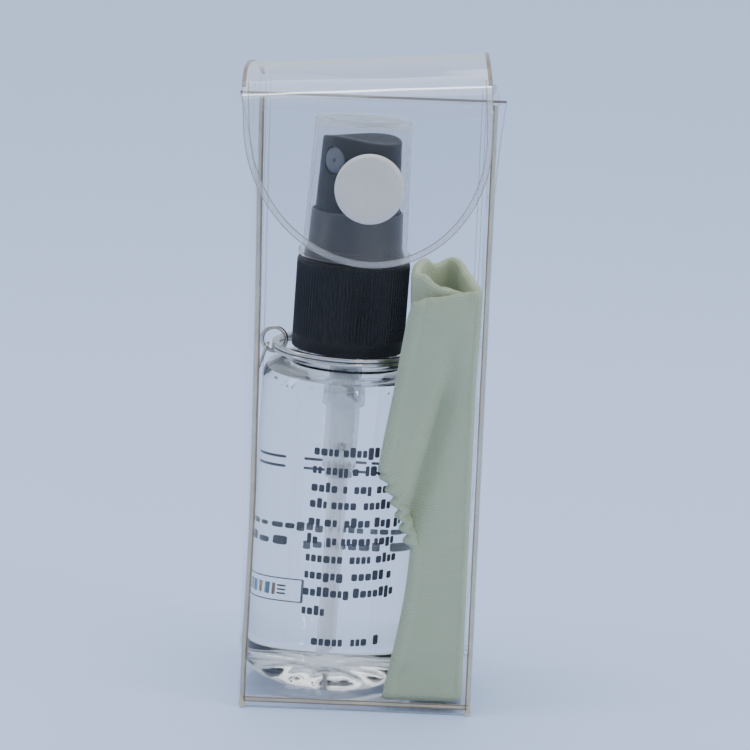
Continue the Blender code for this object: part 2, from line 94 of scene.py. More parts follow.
class Shade:
    """The nodes of a new material, or of a world, with short calls that add a node and link what goes into it."""

    def __init__(self, owner, end="OutputMaterial"):
        self.owner = bpy.data.materials.new(owner) if isinstance(owner, str) else owner
        self.owner.use_nodes = True
        self.tree = self.owner.node_tree
        self.tree.nodes.clear()
        self.end = self.node(end)
        self.place = self.node("TexCoord").outputs["Object"]

    def node(self, kind, inputs=None, **settings):
        made = self.tree.nodes.new("ShaderNode" + kind)
        for key, value in settings.items():
            setattr(made, key, value)
        for key, value in (inputs or {}).items():
            if isinstance(value, bpy.types.NodeSocket):
                self.tree.links.new(value, made.inputs[key])
            else:
                made.inputs[key].default_value = value
        return made

    def noise(self, scale, detail=3.0, stretch=None):
        place = self.place
        if stretch:
            place = self.node("Mapping", {"Vector": place, "Scale": stretch}).outputs["Vector"]
        inputs = {"Vector": place, "Scale": scale, "Detail": detail, "Roughness": 0.55}
        return self.node("TexNoise", inputs).outputs["Fac"]

    def math(self, operation, a, b, clamp=False):
        return self.node("Math", {0: a, 1: b}, operation=operation, use_clamp=clamp).outputs[0]

    def spread(self, value, low, high, to_low=0.0, to_high=1.0):
        inputs = {"Value": value, "From Min": low, "From Max": high, "To Min": to_low, "To Max": to_high}
        return self.node("MapRange", inputs).outputs["Result"]

    def blend(self, factor, first, second):
        return self.node("Mix", {"Factor": factor, "A": first, "B": second}, data_type="RGBA").outputs["Result"]

    def bump(self, height, strength, distance, normal=None):
        inputs = {"Height": height, "Strength": strength, "Distance": distance * MM}
        if normal:
            inputs["Normal"] = normal
        return self.node("Bump", inputs).outputs["Normal"]

    def surface(self, kind, colour, **inputs):
        colour = colour if isinstance(colour, bpy.types.NodeSocket) else tone(colour)
        return self.node("Bsdf" + kind, {"Color": colour, **inputs}).outputs[0]

    def mixed(self, factor, first, second):
        return self.node("MixShader", {0: factor, 1: first, 2: second}).outputs[0]

    def facing(self, **normal):
        """0 where the surface faces the eye, 1 where it is edge-on."""
        return self.node("LayerWeight", {"Blend": 0.5, **normal}).outputs["Facing"]

    def mirror_share(self, facing, head_on):
        """How much a clear surface mirrors, the same from both of its sides."""
        edge = self.math("POWER", facing, 5.0)
        return self.math("ADD", self.math("MULTIPLY", edge, 1.0 - head_on), head_on)

    def twice(self, share):
        """The share that two such faces in a row have."""
        passed = self.math("SUBTRACT", 1.0, share)
        return self.math("SUBTRACT", 1.0, self.math("MULTIPLY", passed, passed))

    def dust(self, scale, share):
        """Small round specks: 1 inside a few of a cell pattern's cells, near their middles."""
        cells = self.node("TexVoronoi", {"Vector": self.place, "Scale": scale}).outputs
        small = self.math("LESS_THAN", cells["Distance"], 0.11)
        return self.math("MULTIPLY", small, self.math("LESS_THAN", cells["Color"], share))

    def lit_through(self, shader, colour, passed):
        """Lets lamps shine through a clear body, so that what is inside it is lit."""
        is_lamp = self.node("LightPath").outputs["Is Shadow Ray"]
        clear = self.surface("Transparent", [c * passed for c in colour])
        return self.done(self.mixed(is_lamp, shader, clear))

    def principled(self, base, rough, normal, **more):
        inputs = {"Base Color": base, "Roughness": rough, "Normal": normal}
        inputs.update({key.replace("_", " "): value for key, value in more.items()})
        return self.done(self.node("BsdfPrincipled", inputs).outputs[0])

    def done(self, shader):
        self.tree.links.new(shader, self.end.inputs["Surface"])
        return self.owner


# ---- camera, floor and light

CAMERA_AT = Vector((6.8, -422.3, 154.5)) * MM
CAMERA_YAW, CAMERA_PITCH, CAMERA_ROLL = (radians(a) for a in (0.66, -12.44, 2.15))
CAMERA_LENS = 110.9


def linked(name, data):
    obj = bpy.data.objects.new(name, data)
    bpy.context.scene.collection.objects.link(obj)
    return obj


def make_camera():
    data = bpy.data.cameras.new("photo_view")
    data.lens, data.sensor_width = CAMERA_LENS, 36.0
    data.clip_start, data.clip_end = 0.01, 20.0
    camera = linked("photo_view", data)
    turn = Matrix.Rotation(CAMERA_YAW, 4, "Z") @ Matrix.Rotation(pi / 2 + CAMERA_PITCH, 4, "X")
    camera.matrix_world = Matrix.Translation(CAMERA_AT) @ turn @ Matrix.Rotation(CAMERA_ROLL, 4, "Z")
    bpy.context.scene.camera = camera


def aimed(name, data, direction):
    lamp = linked(name, data)
    lamp.rotation_euler = direction.to_track_quat("-Z", "Y").to_euler()
    return lamp


def area_light(name, at, towards, width, height, power, colour=(1.0, 1.0, 1.0)):
    data = bpy.data.lights.new(name, "AREA")
    data.shape = "RECTANGLE"
    data.size, data.size_y = width, height
    data.energy, data.color = power, colour
    aimed(name, data, Vector(towards) - Vector(at)).location = at


def sun_light(name, from_direction, strength, angle_deg):
    data = bpy.data.lights.new(name, "SUN")
    data.energy, data.angle = strength, radians(angle_deg)
    aimed(name, data, -Vector(from_direction))


def make_world():
    """A pale room: bright overhead and behind the object, dim on the camera's side."""
    world = bpy.data.worlds.new("studio")
    bpy.context.scene.world = world
    shade = Shade(world, "OutputWorld")
    way = shade.node("SeparateXYZ", {0: shade.node("TexCoord").outputs["Generated"]}).outputs
    total = shade.math("ADD", shade.math("MULTIPLY", way["Y"], 0.55), shade.math("MULTIPLY", way["Z"], 0.75))
    inputs = {"Color": (0.78, 0.88, 1.03, 1.0), "Strength": shade.spread(total, -0.5, 0.6, 0.20, 0.97)}
    shade.done(shade.node("Background", inputs).outputs[0])


# ---- materials


def clear_film(name, haze, head_on, tint, milk=(0.74, 0.78, 0.84), faces=2):
    """Thin clear vinyl: see-through, glossy at its edges, with a soft ripple, faint scuffs and a few specks.
    A sheet is one surface that stands for its two faces; a bead or a hem is a closed body, with faces=1."""
    shade = Shade(name)
    normal = shade.bump(shade.noise(55.0, 2.0), 0.15, 0.5)
    facing = shade.facing(Normal=normal)
    scuffs = shade.spread(shade.noise(900.0, 4.0, (1.0, 1.0, 0.06)), 0.68, 0.85, 0.0, 0.07)
    smear = shade.spread(shade.noise(90.0), 0.3, 0.8, 0.4 * haze, 1.5 * haze)
    edge_haze = shade.math("MULTIPLY", shade.math("POWER", facing, 3.0), min(0.2, 6.0 * haze))
    share = shade.math("ADD", shade.math("ADD", scuffs, smear), edge_haze, clamp=True)
    mirrored = shade.mirror_share(facing, head_on)
    if faces == 2:
        share, mirrored = shade.twice(share), shade.twice(mirrored)
    clear = shade.surface("Transparent", [c**faces for c in tint])
    body = shade.mixed(share, clear, shade.surface("Diffuse", milk))
    body = shade.mixed(shade.dust(260.0, 0.02), body, shade.surface("Diffuse", (0.16, 0.15, 0.14)))
    rough = shade.spread(shade.noise(300.0), 0.3, 0.7, 0.03, 0.10)
    gloss = shade.surface("Glossy", (1.0, 1.0, 1.0), Roughness=rough, Normal=normal)
    return shade.done(shade.mixed(mirrored, body, gloss))


def weld_plastic(name, colour, solid):
    """Melted vinyl along a weld or a cut edge: denser, tanned, glossy."""
    shade = Shade(name)
    uneven = shade.noise(400.0, 4.0)
    normal = shade.bump(uneven, 0.5, 0.15)
    warm = shade.blend(uneven, tone(colour, 0.75), tone(colour, 1.25))
    share = shade.spread(shade.noise(60.0), 0.3, 0.7, solid * 0.6, min(1.0, solid * 1.35))
    clear = shade.surface("Transparent", (0.93, 0.92, 0.90))
    body = shade.mixed(share, clear, shade.surface("Diffuse", warm, Normal=normal))
    gloss = shade.surface("Glossy", (0.8, 0.8, 0.8), Roughness=0.12, Normal=normal)
    return shade.done(shade.mixed(shade.mirror_share(shade.facing(Normal=normal), 0.02), body, gloss))


def clear_solid(name, ior, colour=(1.0, 1.0, 1.0), roughness=0.0, ripple=0.0):
    """A clear moulded or liquid body that bends light."""
    shade = Shade(name)
    normal = shade.bump(shade.noise(60.0, 2.0), ripple, 0.3)
    rough = shade.spread(shade.noise(350.0), 0.3, 0.75, roughness, roughness * 2.5)
    glass = shade.surface("Glass", colour, Roughness=rough, IOR=ior, Normal=normal)
    return shade.lit_through(glass, colour, 0.97)


def cloudy_solid(name, ior, colour, cloud, roughness, scratches=0.08, edge=0.0):
    """Natural polypropylene: clear, with a milky body that looks denser edge-on, faint flow lines along its height
    and a few scratches."""
    shade = Shade(name)
    flow = shade.noise(700.0, stretch=(1.0, 1.0, 0.08))
    normal = shade.bump(flow, 0.15, 0.06)
    glass = shade.surface("Glass", colour, Roughness=roughness, IOR=ior, Normal=normal)
    milk = (0.86, 0.88, 0.90)
    body = shade.mixed(0.5, shade.surface("Diffuse", milk, Normal=normal), shade.surface("Translucent", milk))
    scratch = shade.spread(shade.noise(1500.0, 4.0, (1.0, 1.0, 0.2)), 0.68, 0.82, 0.0, scratches)
    edge_on = shade.math("MULTIPLY", shade.math("POWER", shade.facing(), 3.0), edge)
    dense = shade.math("ADD", edge_on, scratch)
    share = shade.math("ADD", shade.spread(flow, 0.2, 0.8, cloud * 0.75, cloud * 1.25), dense, clamp=True)
    return shade.lit_through(shade.mixed(share, glass, body), colour, 1.0 - 0.6 * cloud)


def moulded(name, colour, roughness, grain=0.12, specks=0.02, speck_colour=(0.32, 0.33, 0.35), shine=0.5):
    """Opaque moulded plastic with a fine grain, a little colour drift and a few dust specks."""
    shade = Shade(name)
    drift = shade.noise(120.0, 4.0)
    base = shade.blend(drift, tone(colour, 0.86), tone(colour, 1.14))
    base = shade.blend(shade.dust(420.0, specks), base, tone(speck_colour))
    normal = shade.bump(shade.noise(3200.0, 2.0), grain, 0.04, shade.bump(drift, 0.05, 0.15))
    rough = shade.spread(shade.noise(600.0, 4.0), 0.3, 0.75, roughness * 0.85, min(1.0, roughness * 1.25))
    return shade.principled(base, rough, normal, Specular_IOR_Level=shine)


def plated_metal():
    """Bright nickel with drawn lines, a little tarnish and fine pits."""
    shade = Shade("nickel_plate")
    tarnish = shade.noise(260.0, 4.0)
    base = shade.blend(tarnish, (0.40, 0.37, 0.34, 1.0), (0.72, 0.70, 0.67, 1.0))
    lines = shade.noise(3500.0, 2.0, (0.15, 0.15, 1.0))
    normal = shade.bump(lines, 0.25, 0.03, shade.bump(tarnish, 0.15, 0.1))
    return shade.principled(base, shade.spread(tarnish, 0.3, 0.8, 0.14, 0.34), normal, Metallic=1.0)


def microfibre():
    """Suede-like warp knit: fine wales along the cloth's length, soft fuzz, and soft random patches of lighter nap."""
    shade = Shade("sage_microfibre")
    flat = shade.node("Attribute", attribute_name="flat_mm").outputs["Vector"]

    def lines(way, scale, distortion, detail_scale):
        inputs = {"Vector": flat, "Scale": scale, "Distortion": distortion, "Detail": 2.0}
        inputs["Detail Scale"] = detail_scale
        settings = {"wave_type": "BANDS", "bands_direction": way, "wave_profile": "SIN"}
        return shade.node("TexWave", inputs, **settings).outputs["Fac"]

    wales, courses = lines("Y", 0.74, 0.8, 1.0), lines("X", 0.9, 1.5, 1.0)
    knit = shade.math("ADD", shade.math("MULTIPLY", wales, 0.65), shade.math("MULTIPLY", courses, 0.35))
    fuzz = shade.math("MULTIPLY", shade.noise(2600.0), 0.5)
    normal = shade.bump(shade.math("ADD", shade.math("MULTIPLY", knit, 0.7), fuzz), 1.0, 0.11)
    knit_share = shade.spread(knit, 0.1, 0.9, 0.25, 0.75)
    base = shade.blend(knit_share, (0.40, 0.460, 0.300, 1.0), (0.59, 0.645, 0.430, 1.0))
    nap = shade.spread(shade.noise(160.0), 0.3, 0.7, 0.0, 0.22)
    base = shade.blend(nap, base, (0.59, 0.65, 0.45, 1.0))
    sheen = {"Sheen_Weight": 0.3, "Sheen_Roughness": 0.5, "Sheen_Tint": (0.86, 0.93, 0.84, 1.0)}
    return shade.principled(base, 0.92, normal, **sheen)


def printing_ink():
    shade = Shade("printing_ink")
    thin = shade.noise(1500.0)
    base = shade.blend(thin, (0.020, 0.022, 0.030, 1.0), (0.060, 0.065, 0.080, 1.0))
    return shade.principled(base, 0.45, shade.bump(thin, 0.1, 0.02))


def paper_floor():
    shade = Shade("pale_paper")
    base = shade.blend(shade.noise(3.0), (0.530, 0.645, 0.900, 1.0), (0.545, 0.660, 0.920, 1.0))
    return shade.principled(base, 0.85, shade.bump(shade.noise(900.0, 4.0), 0.12, 0.1))


# ---- mesh helpers


def settled(obj, body, slot, *nodes):
    """Rides on its body and stands for its CAD nodes, which it hides; slot is not used."""
    if nodes:
        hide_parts(*nodes)
    if body:
        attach(obj, body)
    return obj


def finished(name, bm, materials, body, slot, *nodes, matrix=None):
    """Makes the piece, smooth with crisp edges kept, and settles it."""
    bmesh.ops.recalc_face_normals(bm, faces=bm.faces)
    mesh = bpy.data.meshes.new(name)
    bm.to_mesh(mesh)
    bm.free()
    for material in materials:
        mesh.materials.append(material)
    mesh.shade_smooth()
    mesh.set_sharp_from_angle(angle=radians(38))
    obj = linked(name, mesh)
    if matrix is not None:
        obj.matrix_world = matrix
    return settled(obj, body, slot, *nodes)


def placed(bm, points):
    return [bm.verts.new(Vector(p) * MM) for p in points]


def bridged(bm, first, second, wrap=False):
    """Faces between two rows of points, either of which may be a single point; wrap joins the rows' ends."""
    count = max(len(first), len(second))
    faces = []
    for i in range(count if wrap else count - 1):
        j = (i + 1) % count
        ends = second if len(second) == 1 else [second[j], second[i]]
        loop = (first if len(first) == 1 else [first[i], first[j]]) + ends
        if len(loop) > 2:
            faces.append(bm.faces.new(loop))
    return faces


def spaced(low, high, count):
    """Even steps from low to high, both ends taken in."""
    return [low + (high - low) * i / count for i in range(count + 1)]


def arc(centre, radius, start_deg, end_deg, steps):
    angles = [radians(a) for a in spaced(start_deg, end_deg, steps)]
    return [(centre[0] + radius * cos(a), centre[1] + radius * sin(a)) for a in angles]


def round_section(radius, sides=8):
    return arc((0, 0), radius, 0, 360, sides)[:-1]


def box_section(width, height, round_by, steps=3):
    """A rectangle with round corners, centred."""
    points = []
    for cx, cy, start in ((1, 1, 0), (-1, 1, 90), (-1, -1, 180), (1, -1, 270)):
        centre = (cx * (width / 2 - round_by), cy * (height / 2 - round_by))
        points += arc(centre, round_by, start, start + 90, steps)
    return points


def lathe(name, profile, material, body, slot, *nodes, count=96, closed=True, shape=None, matrix=AXIS):
    """A turned piece from (radius, height) points; shape(angle, radius, height) may press ribs or lumps in.
    A closed profile is a loop. An open one starts and ends on the axis."""
    bm = bmesh.new()
    rings = []
    for radius, height in profile:
        ring = []
        for i in range(count if radius else 1):
            angle = 2 * pi * i / count
            r, z = shape(angle, radius, height) if shape else (radius, height)
            ring.append((r * cos(angle), r * sin(angle), z))
        rings.append(placed(bm, ring))
    for upper, lower in zip(rings, rings[1:] + (rings[:1] if closed else [])):
        bridged(bm, upper, lower, wrap=True)
    return finished(name, bm, [material], body, slot, *nodes, matrix=matrix)


def swept(bm, path, section, frames, closed=False):
    """Sweeps section, (sideways, outward) points, along path; frames(i) gives those two directions."""
    rings = []
    for i, at in enumerate(path):
        side, out = frames(i)
        rings.append(placed(bm, [at + side * a + out * b for a, b in section]))
    for first, second in zip(rings, rings[1:] + (rings[:1] if closed else [])):
        bridged(bm, first, second, wrap=True)
    if not closed:
        bm.faces.new(rings[0][::-1])
        bm.faces.new(rings[-1])


def ahead(path, i, closed=False):
    """The path's direction at its point i."""
    if closed:
        return (path[(i + 1) % len(path)] - path[i - 1]).normalized()
    return (path[min(i + 1, len(path) - 1)] - path[max(i - 1, 0)]).normalized()


def along(path, closed=False):
    """Frames for a swept piece that keep their sideways direction level where they can."""

    def frames(i):
        forward = ahead(path, i, closed)
        guide = Vector((0, 1, 0)) if abs(forward.y) < 0.9 else Vector((0, 0, 1))
        side = forward.cross(guide).normalized()
        return side, side.cross(forward).normalized()

    return frames


def thread(bm, points, radius):
    path = [Vector(p) for p in points]
    swept(bm, path, round_section(radius, 6), along(path))


def strip(bm, points, width, height):
    """A flat bead of melted film along points, its flat side to the front."""
    path = [Vector(p) for p in points]
    front = Vector((0, -1, 0))
    section = box_section(width, height, min(width, height) * 0.3)
    swept(bm, path, section, lambda i: (ahead(path, i).cross(front).normalized(), front))


def smooth_step(value, low, high):
    t = max(0.0, min(1.0, (value - low) / (high - low)))
    return t * t * (3 - 2 * t)


def hump(value, middle, width):
    return exp(-(((value - middle) / width) ** 2))


def wander(x, y, z, scale, seed=0.0):
    """Smooth noise from about -1 to 1 over scale mm."""
    return noise.noise(Vector((x / scale + seed, y / scale - seed, z / scale + 2 * seed)))


# ---- pouch

FRONT_LOW, FRONT_HIGH = corners("pouch_front")
BACK_LOW, BACK_HIGH = corners("pouch_back")
FLAP_LOW, FLAP_HIGH = corners("flap_front")
FLOOR_Z = corners("base_panel")[0].z
SIDE_REACH = {-1: -corners("side_gusset_left")[0].x, 1: corners("side_gusset_right")[1].x}

FRONT_MID = (FRONT_LOW.y + FRONT_HIGH.y) / 2
BACK_MID = (BACK_LOW.y + BACK_HIGH.y) / 2
PANEL_TOP = FRONT_HIGH.z
EAR_X, EAR_START = FRONT_HIGH.x, 95.0
SEAM_LEFT, SEAM_RIGHT = -20.3, 22.1
WELD_WIDTH, FLANGE = 0.8, 2.0
BEAD_LIFT = 0.17


def flare(z):
    return max(0.0, (z - EAR_START) / (PANEL_TOP - EAR_START)) ** 1.6


def seam_x(outward, z):
    """Where a side weld runs: the right one straight, the left one pushed in a little where the ring presses."""
    if outward > 0:
        return SEAM_RIGHT
    return SEAM_LEFT - 0.55 + 1.0 * smooth_step(z, 0.0, 45.0) - 0.3 * smooth_step(z, 70.0, 110.0)


def front_edges(z):
    """Left and right edge of the front panel at a height."""
    left = seam_x(-1, z) * (1 - flare(z)) - EAR_X * flare(z)
    return left, SEAM_RIGHT + (EAR_X - SEAM_RIGHT) * flare(z)


def front_y(x, z):
    """The front panel's middle surface: nearly flat, with slow waves and one pressed-in crease at its right."""
    crease = 0.38 * hump(x, 19.3 + 0.035 * (z - 106), 0.75) * smooth_step(z, 84, 93)
    return FRONT_MID + 0.10 * wander(x, 0.0, z, 22.0, 3.1) + crease


def front_point(u, v):
    z = FRONT_LOW.z + (PANEL_TOP - FRONT_LOW.z) * v
    left, right = front_edges(z)
    x = left + (right - left) * u
    return (x, front_y(x, z), z)


def back_point(u, v):
    x = BACK_LOW.x + (BACK_HIGH.x - BACK_LOW.x) * u
    z = BACK_LOW.z + (PANEL_TOP - BACK_LOW.z) * v
    return (x, BACK_MID + 0.10 * wander(x, 9.0, z, 26.0, 5.2), z)


def side_point(outward, u, v):
    """A side gusset: bowed out between its welds, with a soft pleat down its middle."""
    first, last = FRONT_MID + 0.35, BACK_MID - 0.35
    z = FLOOR_Z + (PANEL_TOP - FLOOR_Z) * v
    weld_x = (seam_x(outward, z) if outward < 0 else SEAM_RIGHT - 0.7) - outward * 0.05
    bulge = SIDE_REACH[outward] - abs(weld_x) - 0.7
    round_out = sin(pi * u) ** 0.6 if 0 < u < 1 else 0.0
    pleat = 0.21 * hump(u, 0.5, 0.05)
    slow = 0.22 * wander(outward * 9.0, u * 30, z, 17.0, 1.7) * sin(pi * u)
    x = weld_x + outward * (max(0.0, bulge) * round_out + 1.0 * flare(z) - pleat) + slow
    return (x, first + (last - first) * u, z)


def base_point(u, v):
    at = Vector(side_point(-1, v, 0.0)).lerp(Vector(side_point(1, v, 0.0)), u)
    sag = 0.25 * wander(at.x, at.y, 0.0, 12.0, 8.0)
    return (at.x, at.y, FLOOR_Z + 0.35 + sag * sin(pi * u) * sin(pi * v))


def film_sheet(name, across, upward, point_at, material, node):
    """A film panel over u, v from 0 to 1: one surface, whose material stands for the film's two faces."""
    bm = bmesh.new()
    rows = [placed(bm, [point_at(i / across, j / upward) for i in range(across + 1)]) for j in range(upward + 1)]
    for first, second in zip(rows, rows[1:]):
        bridged(bm, first, second)
    bmesh.ops.remove_doubles(bm, verts=bm.verts, dist=0.002 * MM)
    finished(name, bm, [material], "pouch", "film", node)


def make_pouch(film, side_film):
    film_sheet("pouch_front_film", 60, 130, front_point, film, "pouch_front")
    film_sheet("pouch_back_film", 40, 90, back_point, film, "pouch_back")
    for side, way in (("left", -1), ("right", 1)):
        name = f"gusset_{side}_film"
        film_sheet(name, 40, 100, lambda u, v, way=way: side_point(way, u, v), side_film, f"side_gusset_{side}")
    film_sheet("base_film", 30, 30, base_point, film, "base_panel")


def make_welds(core, dark, haze):
    """Beads on both sides of each weld, with the melted band between them."""
    lines, bands, faint = bmesh.new(), bmesh.new(), bmesh.new()

    def beside_seam(inwards, inset, uneven=0.0):
        points = []
        for z in spaced(FLANGE * 0.6, PANEL_TOP - 0.8, 70):
            x = seam_x(-inwards, z) + inwards * inset
            points.append((x + uneven * wander(inset * inwards * 20, 0, z, 6.0), front_y(x, z) - BEAD_LIFT, z))
        return points

    for inwards, inner_radius in ((1, 0.18), (-1, 0.13)):
        thread(faint, beside_seam(inwards, 0.10, 0.04), 0.10)
        thread(lines, beside_seam(inwards, WELD_WIDTH, 0.04), inner_radius)
        strip(bands, beside_seam(inwards, WELD_WIDTH / 2), 0.55, 0.12)
    across = spaced(seam_x(-1, FLANGE) + 0.2, SEAM_RIGHT - 0.2, 40)
    rear_y = BACK_MID + BEAD_LIFT
    rear_left, rear_right = BACK_LOW.x + 1.2, BACK_HIGH.x - 1.2
    for z in (FLANGE, FLANGE - WELD_WIDTH):
        thread(lines, [(x, front_y(x, z) - BEAD_LIFT, z + 0.06 * wander(x, 0, z, 7.0)) for x in across], 0.13)
        thread(faint, [(x, rear_y, z) for x in spaced(rear_left, rear_right, 20)], 0.12)
    middle = FLANGE - WELD_WIDTH / 2
    strip(bands, [(x, front_y(x, middle) - BEAD_LIFT + 0.02, middle) for x in across], 0.5, 0.10)
    for x in (rear_left, rear_left + WELD_WIDTH, rear_right, rear_right - WELD_WIDTH):
        thread(faint, [(x, rear_y, z) for z in spaced(1.0, PANEL_TOP - 1.0, 20)], 0.10)
    finished("weld_lines", lines, [dark], "pouch", "film")
    finished("weld_lines_faint", faint, [haze], "pouch", "film")
    finished("weld_bands", bands, [core], "pouch", "film")


def make_edges(core, darkest, haze, hem):
    """The front panel's folded top, a whitish strip below that edge as a painted highlight, the cut edges, and the
    corner fins.
    """
    top, under, cut, fins = bmesh.new(), bmesh.new(), bmesh.new(), bmesh.new()
    across = spaced(*front_edges(PANEL_TOP), 60)
    thread(top, [(x, front_y(x, PANEL_TOP), PANEL_TOP - 0.12) for x in across], 0.23)
    # A thin strip of the hem's hazy film just below the top edge is a painted highlight.
    below = PANEL_TOP - 0.62
    strip(under, [(x, front_y(x, below) - BEAD_LIFT + 0.04, below) for x in across[1:-1]], 0.5, 0.10)

    for side in (0, 1):
        thread(cut, [(front_edges(z)[side], FRONT_MID, z) for z in spaced(0.3, PANEL_TOP - 0.2, 80)], 0.14)
    rear = (BACK_LOW.x + 0.1, BACK_HIGH.x - 0.1)
    for y_mid, ends in ((FRONT_MID, (seam_x(-1, 0.0) + 0.1, SEAM_RIGHT - 0.1)), (BACK_MID, rear)):
        thread(cut, [(x, y_mid, 0.16) for x in spaced(*ends, 30)], 0.14)
    for x in rear:
        thread(cut, [(x, BACK_MID, z) for z in spaced(0.2, PANEL_TOP - 0.1, 30)], 0.14)

    for x, outward in ((seam_x(-1, 0.0), -1), (SEAM_RIGHT, 1)):
        for y, toward in ((FRONT_MID, -1), (BACK_MID, 1)):
            places = ((-0.2, 0.0, 3.4), (0.25, 0.45, 0.55), (-0.6, 0.75, 0.15), (-1.0, 0.0, 0.45))
            corner = [Vector((x + outward * a, y + toward * b, z)) for a, b, z in places]
            half = (corner[1] - corner[0]).cross(corner[3] - corner[0]).normalized() * 0.13
            front, back = placed(fins, [p + half for p in corner]), placed(fins, [p - half for p in corner])
            fins.faces.new(front)
            fins.faces.new(back[::-1])
            bridged(fins, front, back, wrap=True)
    finished("panel_top_edge", top, [darkest], "pouch", "film")
    finished("panel_top_painted_highlight", under, [hem], "pouch", "film")
    finished("cut_edges", cut, [haze], "pouch", "film")
    finished("corner_fins", fins, [core], "pouch", "film")


# ---- flap

FLAP_HALF = FLAP_HIGH.x
FLAP_MID_Y = (FLAP_LOW.y + FLAP_HIGH.y) / 2
ELLIPSE_Z, STRAIGHT = 109.0, 0.12
RIM_WIDTH = 1.15
FLAP_SHIFT, FLAP_LEAN, FLAP_NARROW = -0.75, 0.045, 0.985
HINGE = Vector(JOINTS["flap_open"]["pos_m"]) / MM
FOLD_TILT, FOLD_MIDDLE = 0.095, 120.1


def fold_point(u, x):
    """From the back panel's edge over to the front, as in the frame, with two soft ridges across it."""
    back, front = Vector((BACK_MID, HINGE.z)), Vector((FLAP_MID_Y, FLAP_HIGH.z + 0.1))
    crown = FOLD_MIDDLE + FOLD_TILT * x
    first, second = Vector((back.x - 1.0, crown + 1.6)), Vector((front.x - 0.3, crown + 2.6))
    keep = 1.0 - u
    at = back * keep**3 + first * 3 * keep**2 * u + second * 3 * keep * u**2 + front * u**3
    ridge = 0.26 * hump(u, 0.80, 0.05) + 0.18 * hump(u, 0.62, 0.07)
    swell = sin(pi * u) * 0.25 * wander(x, u * 25, 0.0, 15.0, 4.4)
    return Vector((x, at.x - ridge * 0.5, at.y + ridge + swell))


def flap_row(s):
    """Height and half width of the flap's front at s, from 1 at the fold to 2 at its rim: straight, then an ellipse."""
    top, part = FLAP_HIGH.z, s - 1.0
    if part < STRAIGHT:
        return top + (ELLIPSE_Z - top) * part / STRAIGHT, FLAP_HALF
    angle = (part - STRAIGHT) / (1 - STRAIGHT) * pi / 2
    return ELLIPSE_Z - (ELLIPSE_Z - FLAP_LOW.z) * sin(angle), FLAP_HALF * cos(angle)


def flap_point(u, s):
    """A point of the flap; u runs from 0 at its left edge to 1 at its right, s along the film: 0 to 1 is the fold."""
    if s <= 1.0:
        at = fold_point(s, (-FLAP_HALF + 2 * FLAP_HALF * u) * FLAP_NARROW)
        at.x += FLAP_SHIFT * smooth_step(s, 0.0, 0.35) - 0.8 * sin(pi * s)
        return at
    z, half = flap_row(s)
    x = (-half + 2 * half * u) * FLAP_NARROW
    relax = 0.07 * wander(x, 3.0, z, 14.0, 6.6)
    return Vector((x + FLAP_SHIFT + FLAP_LEAN * (FLAP_HIGH.z - z), FLAP_MID_Y + relax, z))


def flap_normal(s):
    if s > 1.0:
        return Vector((0, -1, 0))
    step = flap_point(0.5, min(1.0, s + 0.01)) - flap_point(0.5, max(0.0, s - 0.01))
    return Vector((1, 0, 0)).cross(step).normalized()


def hem_along(bm, outline, width, height, inwards):
    """A flat band along outline, (u, s) places of the flap's edge, shifted inwards from it."""
    path = [flap_point(u, s) for u, s in outline]

    def frames(i):
        normal = flap_normal(outline[i][1])
        side = ahead(path, i).cross(normal).normalized()
        if side.dot(path[i] - Vector((0, path[i].y, ELLIPSE_Z + 6))) < 0:
            side = -side
        return side, normal

    section = [(a - inwards, b) for a, b in box_section(width, height, min(width, height) * 0.3)]
    swept(bm, path, section, frames)


def make_flap(film, fold_sheen_film, rim, hem_line, edge_dark):
    """The flap's film, and the hem round its free edge: a thin cut edge over the fold, a wide band of doubled film
    below it."""
    sheet, band, lines, ends = bmesh.new(), bmesh.new(), bmesh.new(), bmesh.new()
    folds = fronts = 60
    across = 64
    rows = []
    for s in spaced(0.0, 1.0, folds) + spaced(1.0, 2.0, fronts)[1:]:
        places = [0.5] if s == 2.0 else [i / across for i in range(across + 1)]
        rows.append(placed(sheet, [flap_point(u, s) for u in places]))
    # Rows over the fold take the second material, the flap film with painted sheen.
    for j, (first, second) in enumerate(zip(rows, rows[1:])):
        for face in bridged(sheet, first, second):
            face.material_index = 1 if j < folds else 0

    side_steps = [0.80 + j / 50 for j in range(10)] + [1.0 + j / 90 for j in range(90)]
    around = [(0.0, s) for s in side_steps] + [(0.5, 2.0)] + [(1.0, s) for s in reversed(side_steps)]
    hem_along(band, around, RIM_WIDTH, 0.44, RIM_WIDTH / 2 - 0.06)
    hem_along(lines, around, 0.12, 0.5, 0.0)
    hem_along(lines, around, 0.12, 0.5, RIM_WIDTH - 0.12)
    for u in (0.0, 1.0):
        hem_along(ends, [(u, j / 40) for j in range(34)], 0.7, 0.42, 0.25)

    pieces = [finished("flap_film", sheet, [film, fold_sheen_film], None, "film", "flap_fold", "flap_front")]
    pieces.append(finished("flap_hem", band, [rim], None, "film"))
    pieces.append(finished("flap_hem_lines", lines, [hem_line], None, "film"))
    pieces.append(finished("flap_fold_ends", ends, [edge_dark], None, "film"))
    for piece in pieces:
        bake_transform(piece)


